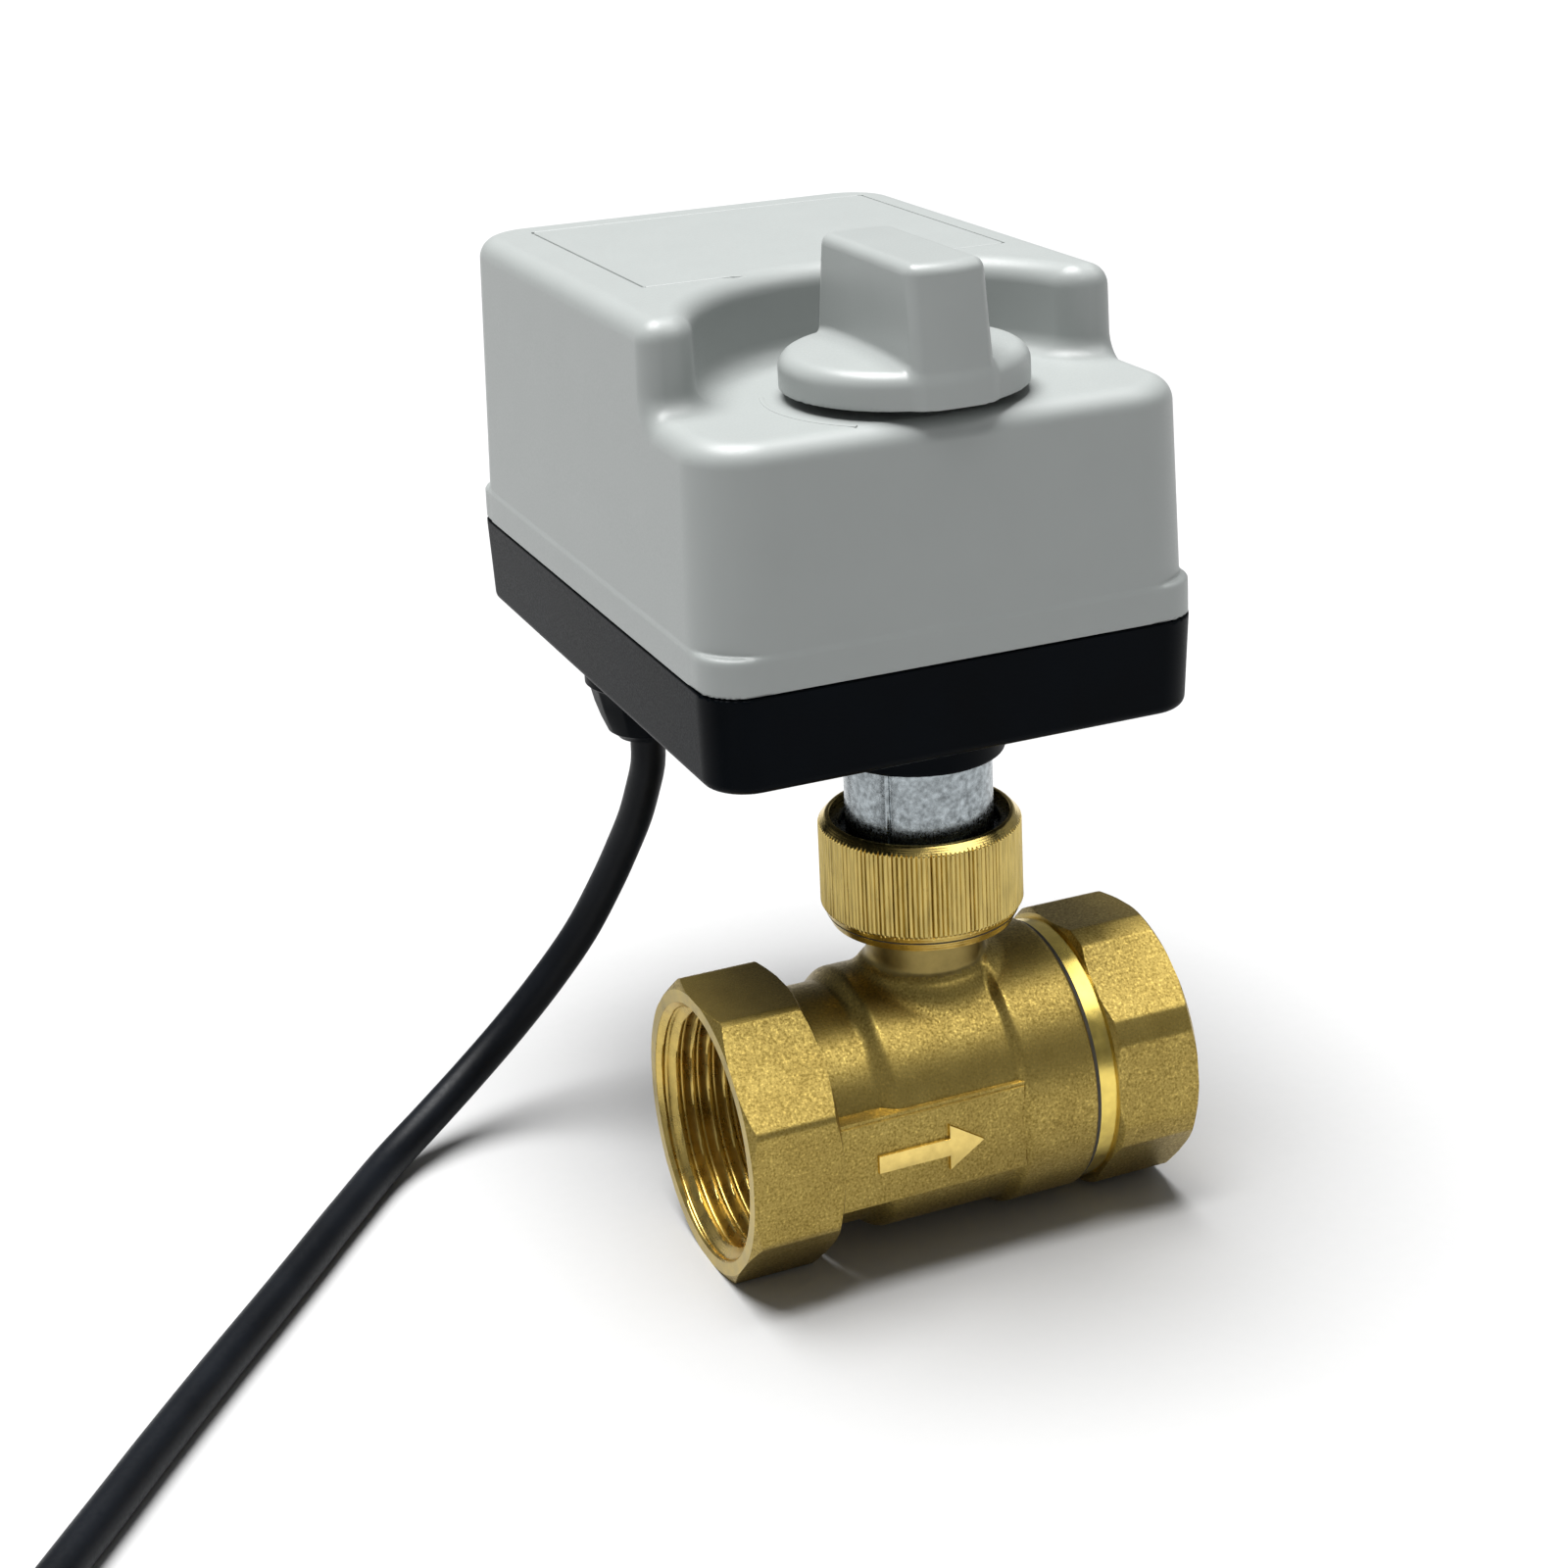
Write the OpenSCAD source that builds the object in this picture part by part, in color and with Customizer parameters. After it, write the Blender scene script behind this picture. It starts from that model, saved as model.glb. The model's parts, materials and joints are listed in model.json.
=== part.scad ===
// Motorised zone valve: a two-piece brass ball valve with a geared actuator on its stem.
// Origin: on the pipe axis, where the inlet thread begins. +X runs along the pipe towards
// the outlet, +Z up along the stem. Millimetres.

/* [Pipe ends] */
// Across flats of the inlet octagon
inlet_flats = 36.8; // [36:0.1:38]
// Across flats of the outlet octagon
outlet_flats = 36; // [35.6:0.1:37]
// Wall radius of the two pipe threads
thread_r = 15.15; // [15:0.05:15.3]
// Length of each pipe thread
thread_len = 10.7; // [10:0.1:11]
// Depth of the chamfer at each mouth
mouth_chamfer = 1.7; // [1:0.1:2]
// Turn of the outlet octagon about the pipe, from being screwed home
outlet_turn = -5; // [-10:1:10]

/* [Barrel] */
// Outer radius of the narrow groove behind the inlet octagon
groove_r = 15.7; // [15.5:0.1:16]
// Outer radius of the barrel's middle
barrel_r = 17.2; // [17:0.1:17.5]
// Outer radius of the barrel where the end cap screws in
socket_r = 18.2; // [18:0.1:18.4]
// Radius of the end cap's bright collar
collar_r = 17.6; // [17.3:0.1:18]

/* [Ball and stem] */
// Radius of the ball
ball_r = 13.8; // [13.6:0.05:13.9]
// Radius of the port through the ball
port_r = 9.6; // [9:0.1:9.8]
// Radius of the stem
stem_r = 4; // [3.8:0.1:4]
// Running clearance of the stem, shaft and nut, on the radius
run_gap = 0.05; // [0.03:0.01:0.08]

/* [Neck and union nut] */
// Radius of the boss on top of the barrel
boss_r = 8.3; // [8:0.1:9]
// Radius of the neck above the boss
neck_r = 7.7; // [7.4:0.1:8]
// Radius of the threaded head that carries the union nut
head_r = 11.15; // [11:0.05:11.3]
// Outer radius of the union nut over its knurl
nut_r = 13.45; // [13.3:0.05:13.8]
// Outer radius of the steel coupling sleeve
sleeve_r = 9.8; // [9.6:0.1:9.9]

/* [Actuator housing] */
// Width of the housing, across the pipe's length
house_w = 68.4; // [68:0.2:70]
// Depth of the housing, front to back
house_d = 98; // [98:0.5:100]
// Front wall's distance in front of the stem axis
house_front = 16.2; // [16.2:0.1:17]
// Height of the black base
base_h = 12.75; // [12.7:0.05:13]
// Height of the front platform above the parting line
platform_h = 31; // [31:0.1:32]
// Height of the cover above the parting line
cover_h = 42.95; // [42.9:0.05:44]
// Wall thickness of the plastic shells
wall = 2.2; // [2:0.1:2.4]
// Radius of the round space around the knob
knob_bay_r = 26.5; // [26:0.1:27]

/* [Knob] */
// Radius of the knob's skirt
knob_r = 16.05; // [15.5:0.05:16.5]
// Width of the grip bar
grip_w = 11; // [10:0.1:12]
// Length of the grip bar
grip_l = 28; // [26:0.1:30]
// Height of the grip above the skirt's underside
grip_h = 17.7; // [17:0.1:18]

/* [Cable] */
// Diameter of the cable's jacket
cable_d = 5; // [4.8:0.1:5.2]
// Radius of the coil at the middle of its turns
coil_r = 27.5; // [25:0.5:30]
// Turns in the coil
coil_turns = 3; // [2:1:4]

/* [Hidden] */
$fn = 96;
eps = 0.02;

// Stations along the pipe, measured from the stem axis
stem_x = 31.2;
inlet_face = -stem_x - mouth_chamfer;
outlet_face = 31.3;
octagon_back = -20.5;
groove_end = -13.5;
barrel_start = -11.5;
socket_start = 6;
seam_x = 16.3;
collar_end = 19.3;
mouth_r = 16.9;
corner_chamfer = 0.8;
way_r = 10;
cone_r = 13.4;
cavity_r = 14.9;
cavity_left = -8;
cap_thread_r = 15.6;
cap_start = 6.6;
seal_start = 5.6;
seat_r = 12.65;
seat_back = 13;
seat_front = 7.2;
pad_y = -17.4;
pad_low = -6.2;
pad_high = 5.2;
pad_end = 5.7;
arrow_len = 15;
arrow_h = 0.6;

// Heights on the stem axis
boss_top = 18;
head_low = 24.6;
head_top = 31.5;
tang_low = 10.9;
tang_len = 8;
tang_w = 3.9;
flange_low = 14.3;
flange_top = 15.6;
washer_top = 16.2;
foot_r = 5.3;
square_w = 5;
square_top = 38;
ring_zs = [19.5, 24];
nut_low = 23.9;
nut_top = 38.4;
nut_mid = 31.5;
ring_low = 36.3;
ring_high = 37.5;
flange2_top = 36.2;
flange2_r = 11.5;
base_low = 51.3;
parting = base_low + base_h;
floor_top = base_low + 2.4;
sleeve_top = floor_top + 1.5;
sleeve_in_r = 8.4;
sleeve_screw_r = 11.7;
under_boss_r = 11.6;
under_boss_low = 47.3;
shaft_r = 5;
shaft_top_r = 4;
shaft_low = 38.8;
shaft_step = 63.5;
shaft_top = 107.8;
bush_low = 48;

// Housing plan
half_w = house_w / 2;
back_y = house_d - house_front;
base_corner = 6;
cover_corner = 8.5;
lip_h = 5;
platform_z = parting + platform_h;
cover_z = parting + cover_h;
horn_front = 4.5;
post_xs = [-29, 29];
post_ys = [-10.6, 76.2];
pillar_xs = [-28.5, 28.5];
pillar_ys = [24, 66];
stand_xs = [-25, 25];
stand_ys = [33, 72];
plate_low = 64.1;
plate_top = 65.6;
gasket_low = 62.45;
gasket_h = 1.3;
board_low = 88;
board_top = 89.6;

// Gears: module 1, 20 degree pressure angle
pinion_teeth = 14;
gear_teeth = 56;
addendum = 0.8;
dedendum = 1.1;
backlash = 0.24;
press_angle = 20;
gear_low = 57;
gear_top = 61;
pinion_y = (pinion_teeth + gear_teeth) / 2;
sector_from = -10;
sector_to = 100;
motor_y = 43;
motor_r = 24.3;
motor_top = 86;

// Knob
knob_low = 96.3;
skirt_h = 5.4;

// Cable gland and cable
gland_x = -24;
gland_y = 38;
gland_low = 41;
gland_r = 8.3;
cable_r = cable_d / 2;
surface_z = -18.4;
rest_z = surface_z + cable_r;
tie_t = 0.8;
coil_x = -165.3;
coil_y = -43.4;
coil_low = surface_z + tie_t;
coil_h = (coil_turns + 0.5) * cable_d;
coil_start = -37.7;
core_r = 0.8;
cable_route = [[-24, 38, 41], [-24, 38.4, 36.5], [-24.6, 39.8, 32], [-25.4, 41.4, 27.5],
    [-26.8, 43.4, 22.5], [-29, 45.4, 16.5], [-32.6, 47.5, 9], [-37.5, 48.8, 2.2],
    [-43.5, 49, -4], [-50.5, 47.5, -9.2], [-58, 44.2, -13.1], [-66, 38.5, -15.5],
    [-74.3, 28.8, rest_z], [-81.8, 19.3, rest_z], [-88.9, 10.4, rest_z],
    [-95.7, 2, rest_z], [-102.3, -6.3, rest_z], [-108.4, -14.1, rest_z],
    [-114.1, -21.6, rest_z], [-119.5, -28.6, rest_z], [-127.4, -39, rest_z + 0.1],
    [-135.4, -49.5, rest_z + 0.4], [-143.5, -60.2, rest_z + tie_t]];
lead_route = [[-24, 38, 57.5], [-24.4, 39.5, 60], [-26, 44, 61.6], [-27.3, 49, 62.6],
    [-27.5, 52, 66], [-27.5, 52, 74], [-27.5, 52, 84], [-27.2, 52.2, 91],
    [-25.8, 52.8, 93.4]];
terminal_xs = [-8.6, -14, -19.4];

// Sweep: one closed tube with flat ends through a list of points
function unit(v) = v / norm(v);
function heading(p, i) = unit(p[min(i + 1, len(p) - 1)] - p[max(i - 1, 0)]);
function side_of(t) = abs(t.z) > 0.95 ? unit(cross([0, 1, 0], t)) : unit(cross([0, 0, 1], t));
function carried(p, i) = i == 0
    ? side_of(heading(p, 0))
    : let (last = carried(p, i - 1), t = heading(p, i)) unit(last - (last * t) * t);
function ring_at(p, i, r, sides) =
    let (t = heading(p, i), a = carried(p, i), b = cross(t, a))
    [for (k = [0:sides - 1]) p[i] + r * (cos(360 * k / sides) * a + sin(360 * k / sides) * b)];

module sweep(p, r, sides) {
    rings = len(p);
    points = [for (i = [0:rings - 1]) each ring_at(p, i, r, sides)];
    skin = [for (i = [0:rings - 2], k = [0:sides - 1])
        let (a = i * sides + k, b = i * sides + (k + 1) % sides)
        [a, a + sides, b + sides, b]];
    start = [[for (k = [0:sides - 1]) k]];
    finish = [[for (k = [sides - 1:-1:0]) (rings - 1) * sides + k]];
    polyhedron(points = points, faces = concat(start, skin, finish), convexity = 8);
}

// Placing
module at_stem() {
    translate([stem_x, 0, 0]) children();
}

// A shape of revolution about the pipe axis: profile points are [station, radius]
module about_pipe(profile) {
    rotate([0, 90, 0]) rotate_extrude() polygon([for (p = profile) [p.y, p.x]]);
}

module pipe_bore(r, from, to) {
    translate([from, 0, 0]) rotate([0, 90, 0]) cylinder(r = r, h = to - from);
}

module tube(r_out, r_in, low, high) {
    difference() {
        translate([0, 0, low]) cylinder(r = r_out, h = high - low);
        translate([0, 0, low - 1]) cylinder(r = r_in, h = high - low + 2);
    }
}

module each_of(xs, ys) {
    for (x = xs, y = ys) translate([x, y, 0]) children();
}

// Rounded rectangle, as a plan
module plan(x0, x1, y0, y1, r) {
    translate([x0 + r, y0]) square([x1 - x0 - 2 * r, y1 - y0]);
    translate([x0, y0 + r]) square([x1 - x0, y1 - y0 - 2 * r]);
    for (x = [x0 + r, x1 - r], y = [y0 + r, y1 - r]) translate([x, y]) circle(r = r);
}

module slab(x0, x1, y0, y1, r, low, high) {
    translate([0, 0, low]) linear_extrude(high - low) plan(x0, x1, y0, y1, r);
}

// Octagonal end with both rims turned to a cone
module octagon_end(flats, from, to, turned) {
    apex = flats / 2 / cos(22.5);
    corner = min(apex, turned);
    rim = flats / 2 + 0.1;
    intersection() {
        translate([from, 0, 0]) rotate([0, 90, 0]) rotate([0, 0, 22.5])
            cylinder(r = apex, h = to - from, $fn = 8);
        about_pipe([[from, 0], [from, rim], [from + corner_chamfer, corner + eps],
            [to - corner_chamfer, corner + eps], [to, rim], [to, 0]]);
    }
}

// The way through one end: mouth chamfer, thread, cone and plain bore. For the inlet side.
module end_way(thread_from, face, bore_to) {
    thread_to = thread_from + thread_len;
    about_pipe([[face - 1, 0], [face - 1, mouth_r + 1], [thread_from, thread_r],
        [thread_from, 0]]);
    pipe_bore(thread_r, thread_from - eps, thread_to);
    about_pipe([[thread_to - eps, 0], [thread_to - eps, cone_r], [thread_to + 4, way_r],
        [thread_to + 4, 0]]);
    pipe_bore(way_r, thread_to + 3, bore_to);
}

module flow_arrow() {
    translate([-15.5, pad_y + eps, (pad_low + pad_high) / 2]) rotate([90, 0, 0])
        linear_extrude(arrow_h) polygon([[0, -1.2], [arrow_len - 5, -1.2],
            [arrow_len - 5, -3.2], [arrow_len, 0], [arrow_len - 5, 3.2],
            [arrow_len - 5, 1.2], [0, 1.2]]);
}

module valve_body() {
    color("goldenrod") at_stem() difference() {
        union() {
            octagon_end(inlet_flats, inlet_face, octagon_back, 30);
            about_pipe([[octagon_back - 1, 0], [octagon_back - 1, groove_r],
                [groove_end, groove_r], [barrel_start, barrel_r],
                [socket_start - 0.8, barrel_r], [socket_start, socket_r],
                [seam_x - 0.4, socket_r], [seam_x, socket_r - 0.4], [seam_x, 0]]);
            translate([octagon_back - 1, pad_y, pad_low])
                cube([pad_end - octagon_back + 1, 5, pad_high - pad_low]);
            flow_arrow();
            translate([0, 0, 10]) cylinder(r = boss_r, h = boss_top - 10);
            translate([0, 0, 10]) cylinder(r = neck_r, h = head_low - 10 + 1);
            translate([0, 0, head_low]) cylinder(r = head_r, h = head_top - head_low);
        }
        end_way(-stem_x, inlet_face, cavity_left);
        pipe_bore(seat_r, -seat_back, cavity_left + 1);
        pipe_bore(cavity_r, cavity_left, seal_start + 1);
        pipe_bore(cap_thread_r, seal_start, seam_x + 1);
        translate([0, 0, 8]) cylinder(r = foot_r + 0.2, h = washer_top - 8);
        translate([0, 0, 8]) cylinder(r = stem_r + run_gap, h = head_top - 7);
    }
}

module end_cap() {
    color("goldenrod") at_stem() rotate([outlet_turn, 0, 0]) difference() {
        union() {
            octagon_end(outlet_flats, collar_end, outlet_face, 18.9);
            pipe_bore(collar_r, seam_x, collar_end + 1);
            pipe_bore(cap_thread_r - eps, cap_start, seam_x + 1);
        }
        mirror([1, 0, 0])
            end_way(-outlet_face + mouth_chamfer, -outlet_face, -cap_start + 1);
        pipe_bore(seat_r, cap_start - 1, seat_back);
    }
}

module ball() {
    color("gainsboro") at_stem() difference() {
        sphere(r = ball_r);
        translate([0, -ball_r - 1, 0]) rotate([-90, 0, 0]) cylinder(r = port_r, h = 2 * ball_r + 2);
        translate([-ball_r, -tang_w / 2 - 0.1, tang_low - 0.3])
            cube([2 * ball_r, tang_w + 0.2, 5]);
    }
}

module seat() {
    difference() {
        pipe_bore(seat_r - eps, -seat_back, -seat_front);
        pipe_bore(port_r, -seat_back - 1, -seat_front + 1);
        sphere(r = ball_r + run_gap);
    }
}

module inlet_seat() {
    color("white") at_stem() seat();
}

module outlet_seat() {
    color("white") at_stem() mirror([1, 0, 0]) seat();
}

module body_seal() {
    color("white") at_stem() difference() {
        pipe_bore(cap_thread_r - eps, seal_start, cap_start);
        pipe_bore(cavity_r, seal_start - 1, cap_start + 1);
    }
}

module stem() {
    color("goldenrod") at_stem() difference() {
        union() {
            intersection() {
                translate([-tang_len / 2, -tang_w / 2, tang_low])
                    cube([tang_len, tang_w, flange_low - tang_low + 0.5]);
                cylinder(r = foot_r, h = 20);
            }
            translate([0, 0, flange_low]) cylinder(r = foot_r, h = flange_top - flange_low);
            translate([0, 0, flange_low]) cylinder(r = stem_r, h = head_top - flange_low);
            translate([-square_w / 2, -square_w / 2, head_top - 1])
                cube([square_w, square_w, square_top - head_top + 1]);
        }
        for (z = ring_zs) tube(stem_r + 1, 2.8, z - 0.7, z + 0.7);
    }
}

module thrust_washer() {
    color("white") at_stem() tube(foot_r, stem_r + run_gap, flange_top + eps, washer_top);
}

module stem_o_rings() {
    color("black") at_stem() for (z = ring_zs)
        translate([0, 0, z]) rotate_extrude() translate([3.41, 0]) circle(r = 0.58, $fn = 32);
}

module union_nut() {
    color("gold") at_stem() difference() {
        rotate_extrude() polygon([[5, nut_low], [12.2, nut_low], [13, 25.2], [nut_r, 26.3],
            [nut_r, 37.2], [12.4, nut_top], [5, nut_top]]);
        translate([0, 0, nut_low - 1]) cylinder(r = head_r + run_gap, h = nut_mid - nut_low + 2);
        translate([0, 0, nut_mid]) cylinder(r = 11.9, h = nut_top - nut_mid + 1);
        translate([0, 0, ring_low]) cylinder(r = 12.5, h = ring_high - ring_low);
    }
}

module retaining_ring() {
    color("dimgray") at_stem() difference() {
        tube(12.48, 10.6, ring_low + eps, ring_high - eps);
        translate([-2, 8, ring_low - 1]) cube([4, 8, 4]);
    }
}

module at_sleeve_screws() {
    for (a = [90, 210, 330]) rotate([0, 0, a]) translate([sleeve_screw_r, 0, 0]) children();
}

module coupling_sleeve() {
    color("silver") at_stem() difference() {
        union() {
            tube(sleeve_r, sleeve_in_r, head_top, sleeve_top);
            tube(13.7, sleeve_in_r, floor_top, sleeve_top);
        }
        at_sleeve_screws() translate([0, 0, floor_top - 1]) cylinder(r = 1.1, h = 4, $fn = 32);
    }
}

module swivel_flange() {
    color("silver") at_stem() tube(flange2_r, sleeve_r + eps, head_top, flange2_top);
}

module sleeve_screws() {
    color("silver") at_stem() at_sleeve_screws() screw(sleeve_top, 1.6, 1.1, 1, 3.2);
}

// A pan-head screw pointing down, its head's underside at height z
module screw(z, head, head_h, shank, shank_l) {
    difference() {
        union() {
            translate([0, 0, z]) cylinder(r = head, h = head_h, $fn = 32);
            translate([0, 0, z - shank_l]) cylinder(r = shank, h = shank_l + 0.1, $fn = 32);
        }
        translate([-head / 2, -0.25, z + head_h / 2]) cube([head, 0.5, head_h]);
        translate([-0.25, -head / 2, z + head_h / 2]) cube([0.5, head, head_h]);
    }
}

module drive_coupler() {
    color("silver") at_stem() difference() {
        translate([0, 0, 33]) cylinder(r = 7.6, h = 12);
        translate([0, 0, shaft_low - 0.1]) cylinder(r = shaft_r + eps, h = 10);
        translate([-square_w / 2 - 0.08, -square_w / 2 - 0.08, 32])
            cube([square_w + 0.16, square_w + 0.16, 6.4]);
    }
}

module lower_bushing() {
    color("peru") at_stem() tube(sleeve_in_r - eps, shaft_r + run_gap, bush_low, sleeve_top);
}

module base_housing() {
    color([0.05, 0.06, 0.07]) at_stem() difference() {
        union() {
            slab(-half_w, half_w, -house_front, back_y, base_corner, base_low, parting);
            translate([0, 0, under_boss_low]) cylinder(r = under_boss_r, h = 5);
        }
        difference() {
            slab(-half_w + wall, half_w - wall, -house_front + wall, back_y - wall,
                base_corner - wall, floor_top, parting + 1);
            each_of(post_xs, post_ys) cylinder(r = 3.6, h = parting);
            each_of(pillar_xs, pillar_ys) cylinder(r = 3, h = parting);
        }
        translate([0, 0, under_boss_low - 1]) cylinder(r = sleeve_r + eps, h = 10);
        each_of(post_xs, post_ys) {
            translate([0, 0, base_low - 1]) cylinder(r = 1.5, h = 20, $fn = 32);
            translate([0, 0, base_low - 1]) cylinder(r = 2.8, h = 2.8, $fn = 32);
        }
        each_of(pillar_xs, pillar_ys)
            translate([0, 0, 56]) cylinder(r = 1.22, h = 10, $fn = 32);
        translate([gland_x, gland_y, base_low - 1]) cylinder(r = 6.05, h = 5);
        at_sleeve_screws() translate([0, 0, 51.9]) cylinder(r = 1.02, h = 4, $fn = 32);
    }
}

module chassis_plate() {
    color("lightgray") at_stem() difference() {
        slab(-30.5, 30.5, -12.5, 74, 2, plate_low, plate_top);
        translate([0, 0, 60]) cylinder(r = shaft_top_r + 0.6, h = 10);
        translate([0, pinion_y, 60]) cylinder(r = 4, h = 10);
        each_of(post_xs, post_ys) translate([0, 0, 60]) cylinder(r = 4.2, h = 10);
        each_of(pillar_xs, pillar_ys) translate([0, 0, 60]) cylinder(r = 1.4, h = 10, $fn = 32);
        each_of(stand_xs, stand_ys) translate([0, 0, 60]) cylinder(r = 1.4, h = 10, $fn = 32);
        for (x = [-27.6, 27.6]) translate([x, motor_y, 60]) cylinder(r = 1.4, h = 10, $fn = 32);
        translate([-27.5, 52, 60]) cylinder(r = 4.2, h = 10);
    }
}

module plate_screws() {
    color("silver") at_stem() each_of(pillar_xs, pillar_ys) screw(plate_top, 2.3, 1.4, 1.2, 6);
}

module motor_screws() {
    color("silver") at_stem() for (x = [-27.6, 27.6])
        translate([x, motor_y, 0]) screw(plate_top + 1, 2.2, 1.4, 1.2, 4);
}

module output_shaft() {
    color("silver") at_stem() difference() {
        union() {
            translate([0, 0, shaft_low]) cylinder(r = shaft_r, h = shaft_step - shaft_low);
            translate([0, 0, shaft_low]) cylinder(r = shaft_top_r, h = shaft_top - shaft_low);
        }
        translate([-5, 3.2, knob_low + 1]) cube([10, 5, 20]);
    }
}

// Involute tooth outline
function involute(r_base, a) = r_base * [cos(a) + a * PI / 180 * sin(a),
    sin(a) - a * PI / 180 * cos(a)];
function roll_to(r_base, r) = sqrt(max(0, (r / r_base) * (r / r_base) - 1)) * 180 / PI;
function turned(p, a) = [p.x * cos(a) - p.y * sin(a), p.x * sin(a) + p.y * cos(a)];
function polar_angle(r_base, r) = roll_to(r_base, r) - atan(roll_to(r_base, r) * PI / 180);

// Tooth flanks are symmetric about angle 0
module tooth(teeth) {
    r_pitch = teeth / 2;
    r_base = r_pitch * cos(press_angle);
    r_root = r_pitch - dedendum;
    r_tip = r_pitch + addendum;
    half = (PI / 2 - backlash / 2) / r_pitch * 180 / PI / 2 + polar_angle(r_base, r_pitch);
    steps = 5;
    r_from = max(r_base, r_root - 0.15);
    flank = [for (i = [0:steps]) let (r = r_from + (r_tip - r_from) * i / steps)
        turned(involute(r_base, roll_to(r_base, r)), -half)];
    mirrored = [for (i = [steps:-1:0]) [flank[i].x, -flank[i].y]];
    root = (r_root - 0.4) * [cos(half), sin(half)];
    polygon(concat([[root.x, -root.y]], flank, mirrored, [root]));
}

module motor_pinion() {
    color("white") at_stem() translate([0, pinion_y, 0]) {
        translate([0, 0, gear_low - 0.4]) linear_extrude(gear_top - gear_low + 0.8) {
            circle(r = pinion_teeth / 2 - dedendum);
            for (i = [0:pinion_teeth - 1]) rotate(90 + (i + 0.5) * 360 / pinion_teeth)
                tooth(pinion_teeth);
        }
        translate([0, 0, 55]) cylinder(r = 2, h = 14);
    }
}

module sector_plan() {
    reach = 40;
    polygon([[0, 0], reach * [cos(sector_from), sin(sector_from)],
        reach * 1.3 * [cos(25), sin(25)], reach * 1.3 * [cos(65), sin(65)],
        reach * [cos(sector_to), sin(sector_to)]]);
}

module output_gear() {
    r_root = gear_teeth / 2 - dedendum;
    color("white") at_stem() difference() {
        union() {
            translate([0, 0, gear_low]) linear_extrude(gear_top - gear_low) {
                intersection() {
                    circle(r = r_root);
                    sector_plan();
                }
                for (k = [-15:1]) rotate(90 + k * 360 / gear_teeth) tooth(gear_teeth);
            }
            translate([0, 0, gear_low - 0.4]) cylinder(r = 9, h = 6);
        }
        translate([0, 0, gear_low - 1]) cylinder(r = shaft_r + eps, h = 10);
        for (a = [20, 70]) rotate([0, 0, a]) translate([17.5, 0, 50]) cylinder(r = 5, h = 20);
    }
}

module cam(low, angle) {
    rotate([0, 0, angle]) difference() {
        union() {
            translate([0, 0, low]) cylinder(r = 9, h = 3.5);
            translate([8, 0, low]) cylinder(r = 3, h = 3.5);
        }
        translate([0, 0, low - 1]) cylinder(r = shaft_top_r + eps, h = 6);
    }
}

module switch_cams() {
    color("red") at_stem() {
        cam(67, 90);
        cam(71.5, 180);
    }
}

module limit_switches() {
    color("black") at_stem() for (x = [-20.4, 13.9]) difference() {
        translate([x, -9.5, plate_top]) cube([6.5, 20, 10.2]);
        for (y = [-5, 5]) translate([x + 3.25, y, plate_top + 5]) cylinder(r = 1.2, h = 8, $fn = 32);
    }
}

module switch_levers() {
    color("silver") at_stem() for (side = [-1, 1]) {
        translate([side * 12.6 - 0.2, -8, 67.4]) cube([0.4, 16, 3]);
        translate([side * 13.25 - 0.65, 6, 68]) cube([1.3, 1.6, 1.8]);
    }
}

module motor_can() {
    color("silver") at_stem() difference() {
        union() {
            translate([0, motor_y, plate_top]) cylinder(r = motor_r, h = motor_top - plate_top - 0.6);
            translate([0, motor_y, plate_top]) cylinder(r = motor_r - 0.6, h = motor_top - plate_top);
            slab(-30.2, 30.2, motor_y - 4, motor_y + 4, 1.5, plate_top, plate_top + 1);
        }
        for (x = [-27.6, 27.6]) translate([x, motor_y, 60]) cylinder(r = 1.4, h = 10, $fn = 32);
        translate([0, pinion_y, 60]) cylinder(r = 2 + run_gap, h = 10);
    }
}

module board_standoffs() {
    color("gold") at_stem() each_of(stand_xs, stand_ys)
        translate([0, 0, plate_top]) cylinder(r = 2.2, h = board_low - plate_top, $fn = 6);
}

module control_board() {
    color("green") at_stem() difference() {
        slab(-28, 28, 30, 76, 1, board_low, board_top);
        translate([-28, 52, 80]) cylinder(r = 5, h = 12);
        each_of(post_xs, post_ys) translate([0, 0, 80]) cylinder(r = 4, h = 12);
        each_of(stand_xs, stand_ys) translate([0, 0, 80]) cylinder(r = 1.3, h = 12, $fn = 32);
    }
}

module board_screws() {
    color("silver") at_stem() each_of(stand_xs, stand_ys) screw(board_top, 2.2, 1.4, 1.2, 1.5);
}

module terminal_block() {
    color("limegreen") at_stem() difference() {
        translate([-22, 62, board_top]) cube([16, 8.5, 10]);
        for (x = terminal_xs) {
            translate([x, 66, board_top + 6]) cylinder(r = 1.9, h = 6, $fn = 32);
            translate([x - 1.6, 61, board_top + 1.6]) cube([3.2, 3, 3.2]);
        }
    }
}

module relay() {
    color("royalblue") at_stem() slab(0, 19, 56, 71, 0.8, board_top, board_top + 12);
}

module capacitor() {
    color("darkorange") at_stem() slab(-14, 14, 36, 46, 1, board_top, board_top + 11);
}

// Outline the gasket follows inside the walls, bending in round the screw posts and pillars
module gasket_line(inset) {
    edge = wall + inset;
    difference() {
        plan(-half_w + edge, half_w - edge, -house_front + edge, back_y - edge,
            base_corner - edge);
        each_of(post_xs, post_ys) circle(r = 4 + inset);
        each_of(pillar_xs, pillar_ys) circle(r = 3.4 + inset);
    }
}

module cover_gasket() {
    color("black") at_stem() translate([0, 0, gasket_low]) linear_extrude(gasket_h)
        difference() {
            gasket_line(0);
            gasket_line(1);
        }
}

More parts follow.
